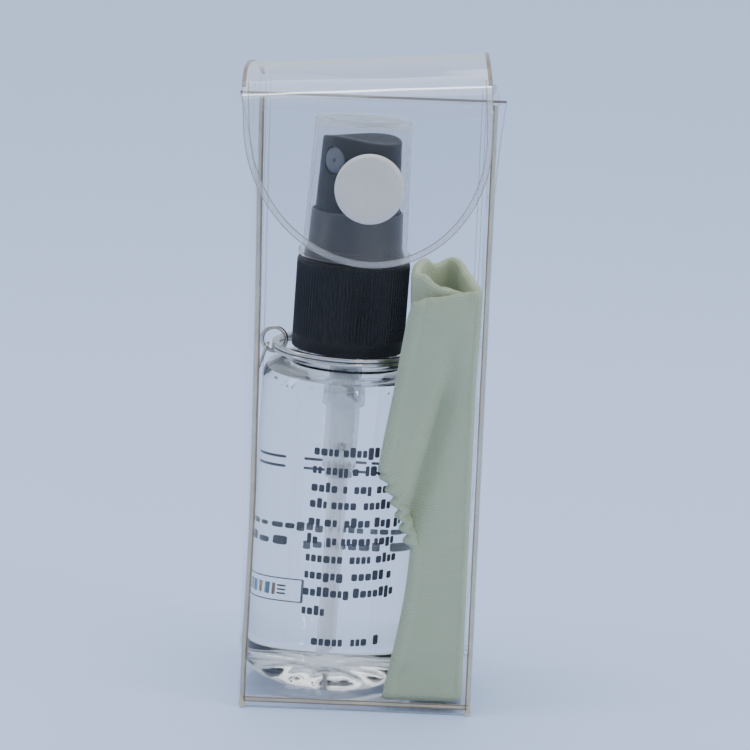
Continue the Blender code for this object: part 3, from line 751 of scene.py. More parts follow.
def make_snap(plastic):
    """The four parts of the press snap, turned about one line through the flap and the front panel."""
    low, high = corners("snap_cap")
    centre = Vector(((low.x + high.x) / 2, 0.0, (low.z + high.z) / 2))
    matrix = Matrix.Translation(centre * MM) @ Matrix.Rotation(radians(90), 4, "X")

    def turned(name, profile, body, node, count, closed=True):
        lathe(name, profile, plastic, body, "snap_plastic", node, count=count, closed=closed, matrix=matrix)

    def span(node):
        """Its rear and front along the line, and its radius."""
        low, high = corners(node)
        return -high.y, -low.y, (high.x - low.x) / 2

    back, front, r = span("snap_cap")
    film = -FLAP_LOW.y + 0.05
    cap = [(0.0, front - 0.05), (r * 0.35, front - 0.02), (r * 0.62, front)]
    cap += arc((r - 0.75, front - 0.75), 0.75, 90, 0, 10)
    cap += [(r, film + 0.12), (r - 0.12, film), (0.9, film), (0.9, back + 0.1), (0.8, back), (0.0, back)]
    turned("snap_cap_disc", cap, "flap", "snap_cap", 96, closed=False)

    back, front, r = span("snap_socket")
    roof = front - 0.75
    socket = [(1.2, front), (r - 0.2, front), (r, front - 0.2), (r, back + 0.15), (r - 0.15, back)]
    socket += [(2.55, back), (2.4, back + 0.15), (2.4, roof), (1.2, roof)]
    turned("snap_socket_ring", socket, "flap", "snap_socket", 64)

    back, front, r = span("snap_stud")
    step = back + 0.55
    stud = [(1.2, front), (1.75, front), (1.9, front - 0.15), (1.9, front - 0.5), (1.75, front - 0.8), (1.9, step)]
    stud += [(r - 0.15, step), (r, step - 0.15), (r, back), (1.2, back)]
    turned("snap_stud_post", stud, "pouch", "snap_stud", 64)

    back, front, r = span("snap_inner_cap")
    seat = back + 0.7
    inner = [(0.0, front), (0.8, front), (0.9, front - 0.1), (0.9, seat), (r - 0.1, seat), (r, seat - 0.1)]
    inner += [(r, seat - 0.35), (r - 0.35, back), (0.0, back)]
    turned("snap_inner_disc", inner, "pouch", "snap_inner_cap", 80, closed=False)


# ---- bottle

NECK_TOP, BODY_R = axial("bottle")[1:]
INK_R = BODY_R + 0.02
NECK_R, BORE_R = 8.3, 7.3
WALL, BITE = 0.55, 0.12
SHOULDER_X, SHOULDER_Z, SHOULDER_R = BODY_R - 4.0, 57.2, 4.0
BASE_INSIDE = [(3.5, 2.3), (6.0, 1.95), (8.0, 1.6), (9.6, 1.2), (11.0, 0.85), (12.2, 0.62)]
CORD_SIDES = 12


def base_lumps(angle, radius, height):
    """Shallow lobes pressed into the base, over a pushed-up middle."""
    if height > 3.6 or radius < 0.5:
        return radius, height
    fade = (1.0 - smooth_step(height, 2.4, 3.6)) * hump(radius, 8.2, 3.4)
    lobes = 0.42 * (0.5 + 0.5 * cos(5 * angle + 0.4)) + 0.20 * (0.5 + 0.5 * cos(12 * angle))
    return radius, max(0.02, height + lobes * fade)


def shoulder(inset, start, end, steps):
    return arc((SHOULDER_X, SHOULDER_Z), SHOULDER_R - inset, start, end, steps)


def foot(inset, start, end):
    return arc((BODY_R - 2.0, 2.0), 2.0 - inset, start, end, 8)


def make_bottle(plastic):
    outer = [(7.45, NECK_TOP), (NECK_R - 0.12, NECK_TOP), (NECK_R, NECK_TOP - 0.12), (NECK_R, 66.0), (8.45, 65.8)]
    outer += [(8.95, 65.7), (9.0, 65.6), (9.0, 65.0), (8.9, 64.85), (8.4, 64.5), (NECK_R, 64.3), (NECK_R, 63.1)]
    outer += arc((NECK_R + 1.3, 63.1), 1.3, 180, 262, 6) + [(10.4, 61.45)] + shoulder(0.0, 90, 0, 14)
    outer += [(BODY_R, 50.0 - 6.0 * i) for i in range(8)] + foot(0.0, 0, -90)
    outer += [(12.2, 0.04), (11.0, 0.25), (9.6, 0.6), (8.0, 0.95), (6.0, 1.25), (3.5, 1.5), (1.2, 1.2), (0.0, 1.15)]
    inner = [(0.0, 2.5), (1.2, 2.45)] + BASE_INSIDE + foot(WALL, -90, 0)
    inner += [(BODY_R - WALL, 8.0 + 6.0 * i) for i in range(8)] + shoulder(WALL, 0, 90, 14)
    inner += [(9.9, 60.7), (9.0, 60.95), (8.0, 61.6), (BORE_R, 62.7), (BORE_R, NECK_TOP - 0.12)]
    lathe("bottle_clear", outer + inner, plastic, "bottle_body", "bottle_pet", "bottle", count=128, shape=base_lumps)

    winding = bmesh.new()
    pitch, per_turn, count = 3.175, 48, 72
    path = []
    for i in range(count + 1):
        angle = 2 * pi * i / per_turn
        radius = NECK_R - 0.35 + 0.45 * min(1.0, i / 8, (count - i) / 8)
        path.append(Vector((radius * cos(angle), radius * sin(angle), 68.6 + pitch * i / per_turn)))
    swept(winding, path, round_section(0.42), along(path))
    finished("neck_thread", winding, [plastic], "bottle_body", "bottle_pet", matrix=AXIS)


def make_liquid(liquid, bubble):
    """The liquid wets the wall, so its surface lies just inside the plastic, and it stays level as the bottle leans."""
    wall = BODY_R - WALL + BITE
    lean = atan2(UP.x, UP.z)
    level = axial("cleaning_fluid")[1] + 1.0

    profile = [(0.0, level), (5.0, level), (10.0, level), (12.6, level + 0.05), (13.3, level + 0.22)]
    profile += [p for p in shoulder(WALL - BITE, 60, 0, 12) if p[1] < level + 0.5]
    profile += [(wall, 50.0 - 6.0 * i) for i in range(8)] + foot(WALL - BITE, 0, -90)
    profile += [(r, z - BITE) for r, z in reversed(BASE_INSIDE)] + [(0.0, 2.5 - BITE)]

    def shape(angle, radius, height):
        if height >= level and radius <= 13.4:
            return radius, height + tan(lean) * radius * cos(angle)
        return base_lumps(angle, radius, height)

    lathe("liquid_fill", profile, liquid, "bottle_body", "liquid", "cleaning_fluid",
          count=128, closed=False, shape=shape)

    random.seed(11)
    foam = bmesh.new()
    for i in range(46):
        angle = random.uniform(0, 2 * pi) if i > 26 else radians(random.uniform(-150, -30))
        size = random.choice((0.10, 0.13, 0.16, 0.2, 0.26))
        reach = wall - 0.18 - size
        height = level + random.uniform(-1.5, -0.3)
        if height > SHOULDER_Z:
            reach = SHOULDER_X + sqrt(max(0.0, (SHOULDER_R - WALL - size) ** 2 - (height - SHOULDER_Z) ** 2)) - 0.08
        spot = Matrix.Translation(Vector((reach * cos(angle), reach * sin(angle), height)) * MM)
        bmesh.ops.create_icosphere(foam, subdivisions=2, radius=size * MM, matrix=spot)
    finished("air_bubbles", foam, [bubble], "bottle_body", "liquid", matrix=AXIS)


# Plain blocks stand where the real bottle has small print. Each row is the height of its middle, where it starts,
# its word widths, and how tall the blocks are; it starts at an angle in degrees on the near wall, in mm on the far one.
FRONT_ROWS = [
    (46.8, -16.5, (4.6, 6.9, 2.4, 4.0)),
    (43.3, -16.6, (1.7, 4.0, 1.6, 6.0, 3.0)),
    (39.9, -16.8, (5.1, 1.2, 3.6, 4.4, 3.0)),
    (36.8, -17.1, (3.2, 5.2, 5.8, 2.2)),
    (33.4, -17.2, (2.2, 2.8, 5.0, 3.6, 1.8)),
    (29.9, -17.4, (2.8, 1.9, 5.6, 4.8)),
    (26.4, -17.4, (7.4, 4.4, 5.2)),
    (23.1, -17.5, (8.0, 6.6, 1.6)),
    (19.8, -17.7, (8.6, 9.4)),
    (16.1, -17.7, (4.8,)),
    (10.3, -9.6, (6.6, 3.8, 1.6)),
]
FRONT_TALL = 1.9
BACK_ROWS = [
    (38.1, -8.5, (3.2, 3.0, 3.2, 3.0), 3.6),
    (25.5, -7.0, (6.5, 2.4, 5.0), 1.5),
    (22.2, -7.0, (3.0, 7.4, 4.0), 1.8),
]
FRAME_TURN, FRAME_WIDTH, FRAME_TALL, FRAME_Z = -31.0, 11.0, 4.6, 12.2


def print_block(bm, angle, half_width, height, z, index=0):
    """One round-cornered block of ink, pressed onto the bottle's wall; angle is from the front, in radians."""
    layers = []
    for r in (INK_R + 0.03, INK_R):
        layer = []
        for sideways, up in box_section(2 * half_width, height, min(half_width, height / 2) * 0.5, 2):
            turn = angle + sideways / INK_R
            layer.append((r * sin(turn), -r * cos(turn), z + up))
        layers.append(placed(bm, layer))
    faces = [bm.faces.new(layers[0]), bm.faces.new(layers[1][::-1]), *bridged(bm, *layers, wrap=True)]
    for face in faces:
        face.material_index = index


def word_blocks(bm, reach, width, z, tall, seen_from=0.0, way=1):
    """A word's worth of plain blocks of uneven widths and heights; reach and width are along the wall. Each tall
    block is a pair of thin bars."""
    left = reach
    while left < reach + width - 0.3 * tall:
        block = min(random.uniform(0.38, 0.66) * tall, reach + width - left)
        high = tall * (1.0 if random.random() < 0.22 else 0.72)
        drop = -0.22 * tall if random.random() < 0.08 else 0.0
        middle = seen_from + way * (left + block / 2) / INK_R
        if tall > 3.0:
            for side in (-1, 1):
                print_block(bm, middle, block / 2, 0.15 * tall, z + side * 0.26 * tall)
        else:
            print_block(bm, middle, block / 2, high - drop, z + (high + drop) / 2 - tall / 2)
        left += block + 0.13 * tall


def make_print(ink, colours):
    random.seed(5)
    front, back = bmesh.new(), bmesh.new()
    for height, start, words in FRONT_ROWS:
        reach = radians(start) * INK_R
        for width in words:
            word_blocks(front, reach, width, height, FRONT_TALL)
            reach += width + 0.85
    for height, reach, words, tall in BACK_ROWS:
        for width in words:
            word_blocks(back, reach, width, height, tall, pi, -1)
            reach += width + 0.45 * tall

    def mark(reach, *block):
        print_block(back, pi - radians(FRAME_TURN) + reach / INK_R, *block)

    step = FRAME_WIDTH / 10
    for side in (-1, 1):
        for k in range(10):
            mark(-FRAME_WIDTH / 2 + step * (k + 0.5), step / 2 + 0.06, 0.24, FRAME_Z + side * FRAME_TALL / 2)
        mark(side * FRAME_WIDTH / 2, 0.12, FRAME_TALL, FRAME_Z)
    for index, reach in ((1, 2.33), (2, 2.64), (3, 3.0)):
        mark(-reach, 0.10, 2.4, FRAME_Z, index)
    for k in range(3):
        mark(-3.6, 0.35, 0.35, FRAME_Z - 0.8 + 0.8 * k)
    finished("printed_blocks_front", front, [ink], "bottle_body", "bottle_pet", matrix=AXIS)
    finished("printed_blocks_back", back, [ink, *colours], "bottle_body", "bottle_pet", matrix=AXIS)


# ---- sprayer


def make_closure(plastic):
    """The ribbed screw closure: a smooth foot, fine upright ribs and a bevelled top."""
    low, top, r = axial("screw_closure")
    ribs, depth = 96, 0.24
    rib_low, rib_top = low + 2.3, top - 0.55

    def shape(angle, radius, height):
        if radius < r - 0.6 or not rib_low - 0.01 < height < rib_top + 0.01:
            return radius, height
        wave = 0.5 + 0.5 * cos(ribs * angle)
        fade = smooth_step(height, rib_low, rib_low + 0.5) * (1 - smooth_step(height, rib_top - 0.35, rib_top))
        return radius - depth * (1 - wave**0.8) * fade, height

    profile = [(7.2, top), (r - 0.5, top), (r - 0.22, top - 0.12), (r - 0.08, top - 0.4), (r - 0.04, rib_top)]
    heights = [rib_top - 0.12] + spaced(rib_top - 0.35, rib_low + 0.5, 5) + [rib_low + 0.25]
    profile += [(r - 0.02, z) for z in heights] + [(r, rib_low), (r, rib_low - 0.3), (r, low + 0.25)]
    profile += [(r - 0.1, low + 0.07), (r - 0.28, low), (9.4, low), (9.25, low + 0.15)]
    profile += [(9.25, top - 1.2), (7.2, top - 1.2)]
    lathe("closure_ribbed", profile, plastic, "closure", "black_plastic", "screw_closure", count=ribs * 6, shape=shape)


def make_collar(plastic):
    """The snap-on collar that the press head slides in, with two fine steps at its foot."""
    low, top, r = axial("pump_collar")
    seat = axial("screw_closure")[1] + 0.3
    profile = [(8.15, top), (8.4, top), (8.52, top - 0.12), (8.6, top - 1.2), (8.8, 82.7), (8.85, 82.45), (9.02, 82.3)]
    profile += [(9.08, 82.1), (9.1, 81.75), (9.26, 81.6), (r, 81.4), (r, seat + 0.1), (r - 0.1, seat), (6.9, seat)]
    profile += [(6.9, low), (4.4, low), (4.4, 80.2), (3.2, 80.2), (3.2, 81.5), (8.15, 81.5)]
    lathe("collar_shell", profile, plastic, "pump_unit", "black_plastic", "pump_collar")


def nozzle_axis():
    """The nozzle's own axes, its local Z pointing out of the press head, and its rear and front along them."""
    points = points_of("nozzle_insert", AXIS.inverted())
    middle = sum(points, Vector()) / len(points)
    angle = atan2(middle.y, middle.x)
    outwards = Vector((cos(angle), sin(angle), 0.0))
    reaches = [p.dot(outwards) for p in points]
    height = (min(p.z for p in points) + max(p.z for p in points)) / 2
    turn = Matrix.Rotation(angle + pi / 2, 4, "Z") @ Matrix.Rotation(radians(90), 4, "X")
    return AXIS @ Matrix.Translation((0, 0, height * MM)) @ turn, angle, min(reaches), max(reaches)


def make_press_head(plastic, nozzle_plastic):
    """The press head: a finger rest that dips along the nozzle's line, and a round nozzle set into its side."""
    nozzle, facing, rear, face_at = nozzle_axis()
    low, high, r = axial("actuator")
    rest = high - 1.6

    def shape(angle, radius, height):
        if height < rest:
            return radius, height
        share = smooth_step(radius, 0.0, 7.3)
        saddle = 0.42 * cos(2 * (angle - facing)) * share
        lift = smooth_step(height, high - 1.5, high - 0.3)
        return radius, height + (saddle - 0.65 * (1 - share)) * lift

    top = high - 0.4
    profile = [(0.0, top), (1.5, top), (3.0, top), (4.5, top), (5.6, top), (6.4, top + 0.02), (6.85, top - 0.02)]
    profile += [(7.1, top - 0.1), (7.25, top - 0.25), (7.32, top - 0.45)]
    profile += list(zip(spaced(7.34, 7.85, 10), spaced(rest, 89.8, 10))) + [(r, low + 0.1), (r - 0.1, low)]
    profile += [(6.9, low), (6.7, 95.0), (2.7, 95.0), (2.7, 88.0), (1.75, 88.0), (1.75, 95.9), (0.0, 95.9)]
    head = lathe("press_head", profile, plastic, None, None, closed=False, shape=shape)

    hole = [(0.0, face_at + 2.0), (2.6, face_at + 2.0), (2.6, rear - 0.1), (0.0, rear - 0.1)]
    cutter = lathe("nozzle_recess", hole, plastic, None, None, count=48, closed=False, matrix=nozzle)
    cutter.hide_render = cutter.hide_viewport = True
    recess = head.modifiers.new("recess", "BOOLEAN")
    recess.operation, recess.object = "DIFFERENCE", cutter
    bpy.context.view_layer.update()
    carved = bpy.data.meshes.new_from_object(head.evaluated_get(bpy.context.evaluated_depsgraph_get()))
    head.modifiers.clear()
    head.data = carved
    carved.set_sharp_from_angle(angle=radians(38))
    bpy.data.objects.remove(cutter)
    settled(head, "press_head", "black_plastic", "actuator")

    disc = [(0.0, face_at - 0.5), (0.25, face_at - 0.45), (0.28, face_at - 0.12), (0.5, face_at), (2.1, face_at)]
    disc += [(2.38, face_at - 0.2), (2.45, face_at - 0.5), (2.45, rear), (0.0, rear)]
    lathe("nozzle_disc", disc, nozzle_plastic, "press_head", "nozzle_plastic", "nozzle_insert",
          count=64, closed=False, matrix=nozzle)


def make_pump(natural, tube_plastic):
    """The pump housing with its step and inlet, and the dip tube cut at a slant."""
    low, top, r = axial("pump_housing")
    housing = [(2.3, top), (7.8, top), (r, top - 0.1), (r, top - 0.6), (7.8, top - 0.7), (3.2, top - 0.7)]
    housing += [(3.0, top - 0.9), (3.0, 53.3), (2.9, 53.0), (2.45, 52.65), (2.35, 52.4), (2.35, 41.1), (2.25, 40.9)]
    housing += [(1.98, 40.6), (1.95, 40.4), (1.95, low + 0.15), (1.85, low), (1.65, low), (1.65, 42.0), (0.7, 42.0)]
    housing += [(0.7, 42.9), (1.65, 43.9), (1.65, 53.4), (2.3, 53.6)]
    lathe("housing_body", housing, natural, "pump_unit", "natural_plastic", "pump_housing", count=64)

    low, top, r = axial("dip_tube")

    def slant(angle, radius, height):
        return radius, height + (0.9 * radius * (1 + cos(angle)) if height < low + 0.5 else 0.0)

    tube = [(0.85, top)] + [(r, top - 4.0 * k) for k in range(9)] + [(r, low), (0.85, low)]
    lathe("suction_tube", tube, tube_plastic, "pump_unit", "natural_plastic", "dip_tube", count=32, shape=slant)


def make_overcap(natural):
    """The clear overcap: a thin tapered cup with a stepped rim and the moulding mark in the middle of its top."""
    low, top, r = axial("overcap")
    waist, low_r, top_r, wall = 82.4, 9.75, 8.96, 0.62
    profile = [(0.0, top - 0.25), (0.5, top - 0.25), (0.6, top - 0.02), (0.9, top), (3.0, top), (6.0, top)]
    profile += arc((top_r - 1.0, top - 1.0), 1.0, 90, 0, 8)
    profile += list(zip(spaced(top_r, low_r, 8), spaced(top - 1.0, waist + 0.3, 8)))[1:]
    profile += [(low_r + 0.12, waist), (r - 0.25, waist - 0.5), (r - 0.05, waist - 0.75), (r, waist - 0.95)]
    profile += [(r, low + 0.12), (r - 0.12, low), (9.72, low), (9.62, low + 0.12), (9.62, 81.3), (9.5, 81.55)]
    inner_r = low_r - wall
    profile += list(zip(spaced(inner_r, inner_r - 0.71, 8), spaced(waist + 0.15, top - 1.7, 8)))[:-1]
    profile += arc((top_r - wall - 0.8, top - 0.9 - 0.8), 0.8, 0, 90, 6)
    profile += [(3.0, top - 0.9), (1.6, top - 0.9), (1.5, top - 1.15), (1.2, top - 1.15), (0.0, top - 1.1)]
    lathe("overcap_cup", profile, natural, "cap", "natural_plastic", "overcap", count=128, closed=False)


# ---- key ring


def make_key_ring(metal):
    low, high, r = axial("split_ring")
    width, thick, turns, per_turn = 1.4, 0.66, 1.93, 120
    low, middle = low + thick / 2, r - width / 2
    pitch = (high - thick / 2 - low) / turns
    path = []
    for i in range(round(turns * per_turn) + 1):
        angle = 2 * pi * (i / per_turn + 0.02)
        path.append(Vector((middle * cos(angle), middle * sin(angle), low + pitch * i / per_turn)))
    ring = bmesh.new()
    swept(ring, path, box_section(width, thick, 0.18),
          lambda i: (Vector((path[i].x, path[i].y, 0.0)).normalized(), Vector((0, 0, 1))))
    finished("split_ring_wire", ring, [metal], "key_ring", "steel", "split_ring", matrix=AXIS)

    low, high = corners("jump_ring")
    wire, radius = 0.41, (high.z - low.z) / 2 - 0.37
    hoop = bmesh.new()
    loop = [(low + high) / 2 + Vector((x, 0.0, z)) for x, z in round_section(radius, 72)]
    swept(hoop, loop, round_section(wire, CORD_SIDES), along(loop, True), True)
    finished("jump_ring_wire", hoop, [metal], "hoop", "steel", "jump_ring")

    wire, across = 0.3, Vector((0, 1, 0))
    points = points_of("chain_link", Matrix())
    middle = sum(points, Vector()) / len(points)
    down = (middle - Vector(JOINTS["chain_link_swing"]["pos_m"]) / MM).normalized()
    half = max(abs((p - middle).dot(down)) for p in points) - wire
    bend = max(abs((p - middle).dot(across)) for p in points) - wire
    oval = []
    for end in (-1, 1):
        for sideways, lengthways in arc((0, half - bend), bend, 0, 180, 24):
            oval.append(middle + across * end * sideways + down * end * lengthways)
    link = bmesh.new()
    swept(link, oval, round_section(wire, CORD_SIDES), along(oval, True), True)
    finished("chain_link_wire", link, [metal], "link", "steel", "chain_link")


# ---- cloth

CLOTH_LOW = corners("cleaning_cloth")[0]
CLOTH_CUT, CLOTH_THICK = 140.0, 0.32
CLOTH_FRONT_Y = CLOTH_LOW.y + 0.52
PINKED_TOP, PINKED_LOW = 46.0, 31.8
COLUMNS, EDGE_POINTS, EDGE_COLUMNS = 190, 4, 16
CROWN_RISE = 1.0
STRETCH_FROM, NOMINAL_TOP = 48.0, 78.0
KNIT_SLANT = 0.42


def left_edge(z, pinking=1.0):
    """Where the cloth's front layer ends at the left: a slanted fold, a pinked step, then the lower fold."""
    if z > PINKED_TOP:
        return 3.6 + 5.1 * ((z - PINKED_TOP) / 32.0) ** 1.1
    if z > PINKED_LOW:
        share = (PINKED_TOP - z) / (PINKED_TOP - PINKED_LOW)
        teeth = 1.5 * abs(((share * 6.0) % 1.0) * 2 - 1) - 0.75
        return 3.6 + 6.0 * share**0.8 + teeth * pinking
    return 4.6 + 5.4 * smooth_step(z, -8.0, PINKED_LOW) ** 0.8


def crease_x(z):
    """The line of the deep fold that runs down the front layer."""
    return 8.3 + 6.8 * smooth_step(z, 27.0, 67.0)


def front_relief(x, z):
    """How far the front layer stands back from the film, in mm."""
    fade = smooth_step(z, 27.0, 40.0) * (1 - smooth_step(z, 55.0, 72.0))
    offset = x - crease_x(z)
    valley = 3.1 * hump(offset, 0.0, 1.5 if offset < 0 else 2.3) * fade
    soft = 0.16 * (1 + wander(x, 1.0, z, 9.0, 2.2))
    low_crease = 0.8 * hump(z, 5.2 + 0.5 * (x - 5.0), 1.0) * (1 - smooth_step(x, 8.0, 12.0))
    return valley + soft + low_crease + 1.1 * smooth_step(z, 74.0, 80.0) ** 2


# The cloth's way on from the front layer, seen from above: where each place is below the bottle's shoulder, how far
# it moves in above it, and how much of the slow sway it takes.
WRAP = [
    (20.25, -7.0, 0.4, 0.0, 0.0), (20.3, -2.0, 1.0, 0.0, 0.3), (20.3, 4.0, 1.9, 0.0, 0.0), (19.7, 8.6, 2.3, 1.0, 0.0),
    (17.6, 10.8, 2.2, 1.4, 0.0), (15.0, 10.6, 1.8, 2.0, 0.0), (13.8, 8.6, 2.6, 1.6, 0.0), (14.1, 4.5, 4.1, 0.6, 0.0),
    (14.0, 0.5, 4.6, 0.0, 0.0), (13.3, -3.2, 4.4, 0.0, 0.0), (12.2, -6.0, 3.2, 0.0, 0.0), (11.2, -7.5, 0.8, 0.0, 0.0),
    (11.6, -8.9, 0.0, 0.0, 0.0), (13.2, -9.1, 0.0, 0.0, 0.0), (15.6, -8.9, 0.0, 0.0, 1.0), (17.3, -7.6, 0.3, 0.0, 0.0),
    (17.8, -4.6, 1.1, 0.0, 0.3), (17.9, 1.0, 2.2, 0.0, 0.0), (17.5, 4.6, 2.8, 0.6, 0.0), (16.5, 5.9, 2.4, 0.8, 0.0),
    (15.9, 4.0, 3.0, 0.0, 0.0), (16.0, 0.0, 3.2, 0.0, 0.0), (15.6, -3.4, 2.6, 0.0, 0.0), (14.6, -6.2, 1.2, 0.0, 0.0),
]


def cloth_plan(z):
    """The doubled cloth's path seen from above at a height: in at the left fold, along the front film, round the
    right wall, back along the bottle, and curled up inside."""
    left, straight, y = left_edge(z), left_edge(z, 0.0), CLOTH_FRONT_Y
    above_step = smooth_step(z, PINKED_TOP - 1.0, PINKED_TOP + 2.0)
    tuck = 3.6 * (1 - smooth_step(z, PINKED_LOW - 2.0, PINKED_LOW + 1.0) * (1 - above_step)) + 0.25
    above = smooth_step(z, 62.0, 70.0)
    sway = 0.5 * wander(0.0, 0.0, z, 20.0, 9.1)
    points = [(left + tuck, y + 1.35), (left + 0.35 * tuck + 0.15, y + 1.3), (left, y + 0.65), (left + 0.9, y)]
    points += [(x, y + front_relief(x, z)) for x in spaced(straight + 1.9, 19.1, 24)[:-1]]
    points += [(19.5, y + 0.5), (20.15, y + 2.2)]
    points += [(x - dx * above + share * sway, y - dy * above) for x, y, dx, dy, share in WRAP]
    return [Vector((x, y, 0.0)) for x, y in points]


def resampled(points, count):
    """Evenly spaced places on a smooth curve through points, and the curve's length."""
    fine = []
    for i in range(len(points) - 1):
        before, after = points[max(i - 1, 0)], points[min(i + 2, len(points) - 1)]
        p, q = points[i], points[i + 1]
        square, cube = 2 * before - 5 * p + 4 * q - after, 3 * p - before - 3 * q + after
        fine += [0.5 * (2 * p + (q - before) * t + square * t * t + cube * t**3) for t in spaced(0, 1, 8)[:-1]]
    fine.append(points[-1])
    lengths = [0.0]
    for a, b in zip(fine, fine[1:]):
        lengths.append(lengths[-1] + (b - a).length)
    places, at = [], 0
    for want in spaced(0.0, lengths[-1], count - 1):
        while at < len(fine) - 2 and lengths[at + 1] < want:
            at += 1
        share = (want - lengths[at]) / max(1e-6, lengths[at + 1] - lengths[at])
        places.append(fine[at].lerp(fine[at + 1], min(1.0, share)))
    return places, lengths[-1]


def cloth_row(z):
    """The cloth's path at a height, its left fold spaced apart from the rest so that the pinking stays there."""
    points = cloth_plan(z)
    fold, fold_length = resampled(points[:EDGE_POINTS + 1], EDGE_COLUMNS)
    rest, rest_length = resampled(points[EDGE_POINTS:], COLUMNS - EDGE_COLUMNS + 1)
    return fold[:-1] + rest, fold_length + rest_length


def cloth_top(share):
    """The height of the doubled cloth's folded top along its path."""
    stops = [(0.0, 76.0), (0.045, 77.6), (0.09, 78.6), (0.18, 80.0), (0.24, 80.4), (0.36, 80.8), (0.42, 82.6)]
    stops += [(0.46, 81.4), (0.5, 82.9), (0.56, 83.0), (0.64, 82.0), (0.7, 79.6), (0.76, 78.4), (0.82, 77.8)]
    stops += [(0.92, 77.4), (1.0, 76.8)]
    for (a, low), (b, high) in zip(stops, stops[1:]):
        if share <= b:
            return low + (high - low) * smooth_step(share, a, b)
    return stops[-1][1]


def make_cloth(material):
    """A square of microfibre, doubled over its middle and stood on its cut edges round the pouch's right side."""
    bottom, last = CLOTH_LOW.z + 0.25, NOMINAL_TOP
    heights = spaced(bottom, 30.0, 22)[:-1] + spaced(30.0, STRETCH_FROM, 38)[:-1] + spaced(STRETCH_FROM, last, 26)
    rows = [(z, *cloth_row(z)) for z in heights]
    bm = bmesh.new()
    flat = bm.verts.layers.float_vector.new("flat_mm")
    grid = []

    def add_row(line, length, z, spread, cloth_y, rise=0.0):
        """spread is how far this row stands off the middle of the doubled cloth. The rows above the pinked step are
        stretched to reach the top that each place of the cloth has."""
        grow = max(0.0, (z - STRETCH_FROM) / (last - STRETCH_FROM))
        row = []
        for i, middle in enumerate(line):
            share, way = i / (COLUMNS - 1), ahead(line, i)
            height = z + (cloth_top(share) - CROWN_RISE - last) * grow + rise
            vert = bm.verts.new(Vector((middle.x + way.y * spread, middle.y - way.x * spread, height)) * MM)
            slant = KNIT_SLANT * smooth_step(height, 34.0, 58.0) * (1 - smooth_step(share, 0.12, 0.24))
            vert[flat] = (share * length, cloth_y - slant * share * length, 0.0)
            row.append(vert)
        grid.append(row)

    def gap(z):
        return 0.24 + 0.5 * smooth_step(z, 60.0, last)

    for z, line, length in rows:
        add_row(line, length, z, gap(z), z)
    _, crown, crown_length = rows[-1]
    for k in range(1, 8):
        turn = pi * k / 8
        add_row(crown, crown_length, last, gap(last) * cos(turn), last + k * 0.3, CROWN_RISE * sin(turn))
    for z, line, length in reversed(rows):
        add_row(line, length, z, -gap(z), 2 * last + 2.4 - z)
    for lower, upper in zip(grid, grid[1:]):
        bridged(bm, lower, upper)
    obj = finished("folded_cloth", bm, [material], "cloth", "microfibre", "cleaning_cloth")
    shell = obj.modifiers.new("cloth", "SOLIDIFY")
    shell.thickness, shell.offset = CLOTH_THICK * MM, 0.0


# ---- build

make_camera()

FILM_CLEAR = clear_film("clear_film", 0.003, 0.004, (0.985, 0.987, 0.989))
FILM_FLAP = clear_film("flap_film", 0.004, 0.006, (0.945, 0.950, 0.955))
FILM_SIDE = clear_film("side_film", 0.012, 0.02, (0.978, 0.978, 0.976), (0.84, 0.85, 0.86))
# The fold's film is the flap's vinyl made whiter and more mirroring: painted sheen where the fold catches the overhead
# light.
FILM_FOLD_SHEEN = clear_film("fold_sheen_film", 0.035, 0.055, (0.965, 0.970, 0.978), (0.84, 0.87, 0.90))
FILM_HEM = clear_film("hem_film", 0.24, 0.03, (0.97, 0.97, 0.965), (0.86, 0.85, 0.83), faces=1)
HEM_LINE = weld_plastic("hem_line", (0.42, 0.37, 0.32), 0.5)
FILM_EDGE = clear_film("cut_edge_film", 0.30, 0.02, (0.93, 0.94, 0.95), (0.66, 0.68, 0.70), faces=1)
WELD_CORE = weld_plastic("weld_core", (0.66, 0.61, 0.47), 0.85)
WELD_DARK = weld_plastic("weld_dark", (0.30, 0.22, 0.155), 0.72)
WELD_DARKEST = weld_plastic("weld_darkest", (0.20, 0.145, 0.11), 0.92)
PET = clear_solid("bottle_plastic", 1.36, (1.0, 1.0, 0.997), 0.004, 0.10)
WATER = clear_solid("clear_liquid", 1.33)
AIR = clear_solid("air_in_liquid", 0.752)
NATURAL = cloudy_solid("natural_plastic", 1.05, (0.97, 0.98, 0.98), 0.30, 0.06)
TUBE_PLASTIC = cloudy_solid("tube_plastic", 1.02, (0.995, 0.99, 0.99), 0.30, 0.03)
CAP_CLEAR = cloudy_solid("overcap_plastic", 1.07, (0.955, 0.951, 0.948), 0.020, 0.02, 0.03, 0.20)
BLACK = moulded("black_plastic", (0.008, 0.0076, 0.0073), 0.45, grain=0.004, specks=0.012, shine=0.2)
DARK = moulded("press_head_plastic", (0.005, 0.006, 0.009), 0.45, grain=0.005, specks=0.010, shine=0.2)
COLLAR = moulded("collar_plastic", (0.038, 0.037, 0.040), 0.38, grain=0.005, specks=0.010, shine=0.5)
NOZZLE_GREY = moulded("nozzle_plastic", (0.10, 0.115, 0.14), 0.42)
WHITE = moulded("snap_plastic", (0.63, 0.60, 0.56), 0.30, specks=0.004, speck_colour=(0.4, 0.3, 0.25))
SEAL = moulded("seal_plastic", (0.78, 0.78, 0.76), 0.5)
NICKEL = plated_metal()
CLOTH = microfibre()
INK = printing_ink()
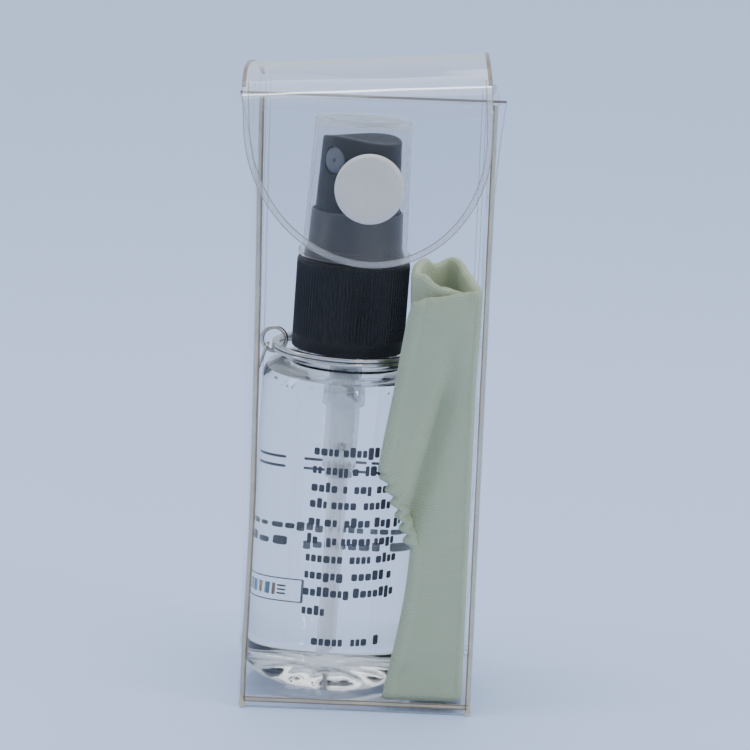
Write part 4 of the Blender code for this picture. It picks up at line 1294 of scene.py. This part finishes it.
LABEL_COLOURS = [
    moulded("label_ochre", (0.95, 0.66, 0.22), 0.5),
    moulded("label_blue", (0.10, 0.50, 1.00), 0.5),
    moulded("label_brown", (0.62, 0.36, 0.16), 0.5),
]

make_pouch(FILM_CLEAR, FILM_SIDE)
make_welds(WELD_CORE, WELD_DARK, FILM_EDGE)
make_edges(WELD_CORE, WELD_DARKEST, FILM_EDGE, FILM_HEM)
make_flap(FILM_FLAP, FILM_FOLD_SHEEN, FILM_HEM, HEM_LINE, WELD_DARK)
make_snap(WHITE)
make_bottle(PET)
make_print(INK, LABEL_COLOURS)
make_liquid(WATER, AIR)
make_closure(BLACK)
make_collar(COLLAR)
make_press_head(DARK, NOZZLE_GREY)
make_pump(NATURAL, TUBE_PLASTIC)
make_overcap(CAP_CLEAR)
make_key_ring(NICKEL)
make_cloth(CLOTH)

KEPT = {"neck_gasket": SEAL, "piston": SEAL, "pump_stem": NATURAL, "return_spring": NICKEL, "check_ball": NICKEL}
for node, material in KEPT.items():
    mesh = frame["nodes"][node].data
    mesh.materials.clear()
    mesh.materials.append(material)

FLOOR_HALF_M, FLOOR_DROP = 6.0, 0.05
floor_mesh = bpy.data.meshes.new("floor")
floor_bm = bmesh.new()
bmesh.ops.create_grid(floor_bm, x_segments=40, y_segments=40, size=FLOOR_HALF_M)
floor_bm.to_mesh(floor_mesh)
floor_bm.free()
floor_mesh.materials.append(paper_floor())
FLOOR = linked("floor", floor_mesh)
FLOOR.location.z = -FLOOR_DROP * MM

make_world()
sun_light("overhead", (-0.12, 0.20, 1.0), 1.45, 70.0)
area_light("ceiling_strip", (0.0, -0.12, 0.80), (0.0, 0.0, 0.1), 0.9, 0.04, 1.6)
area_light("window_strip", (0.26, -0.76, 0.22), (0.0, 0.0, 0.08), 0.04, 0.32, 0.55)
area_light("right_strip", (0.55, -0.30, 0.30), (0.0, 0.0, 0.07), 0.08, 0.6, 0.8)
area_light("left_strip", (-0.60, -0.10, 0.28), (0.0, 0.0, 0.07), 0.10, 0.5, 0.5, (0.95, 0.98, 1.0))
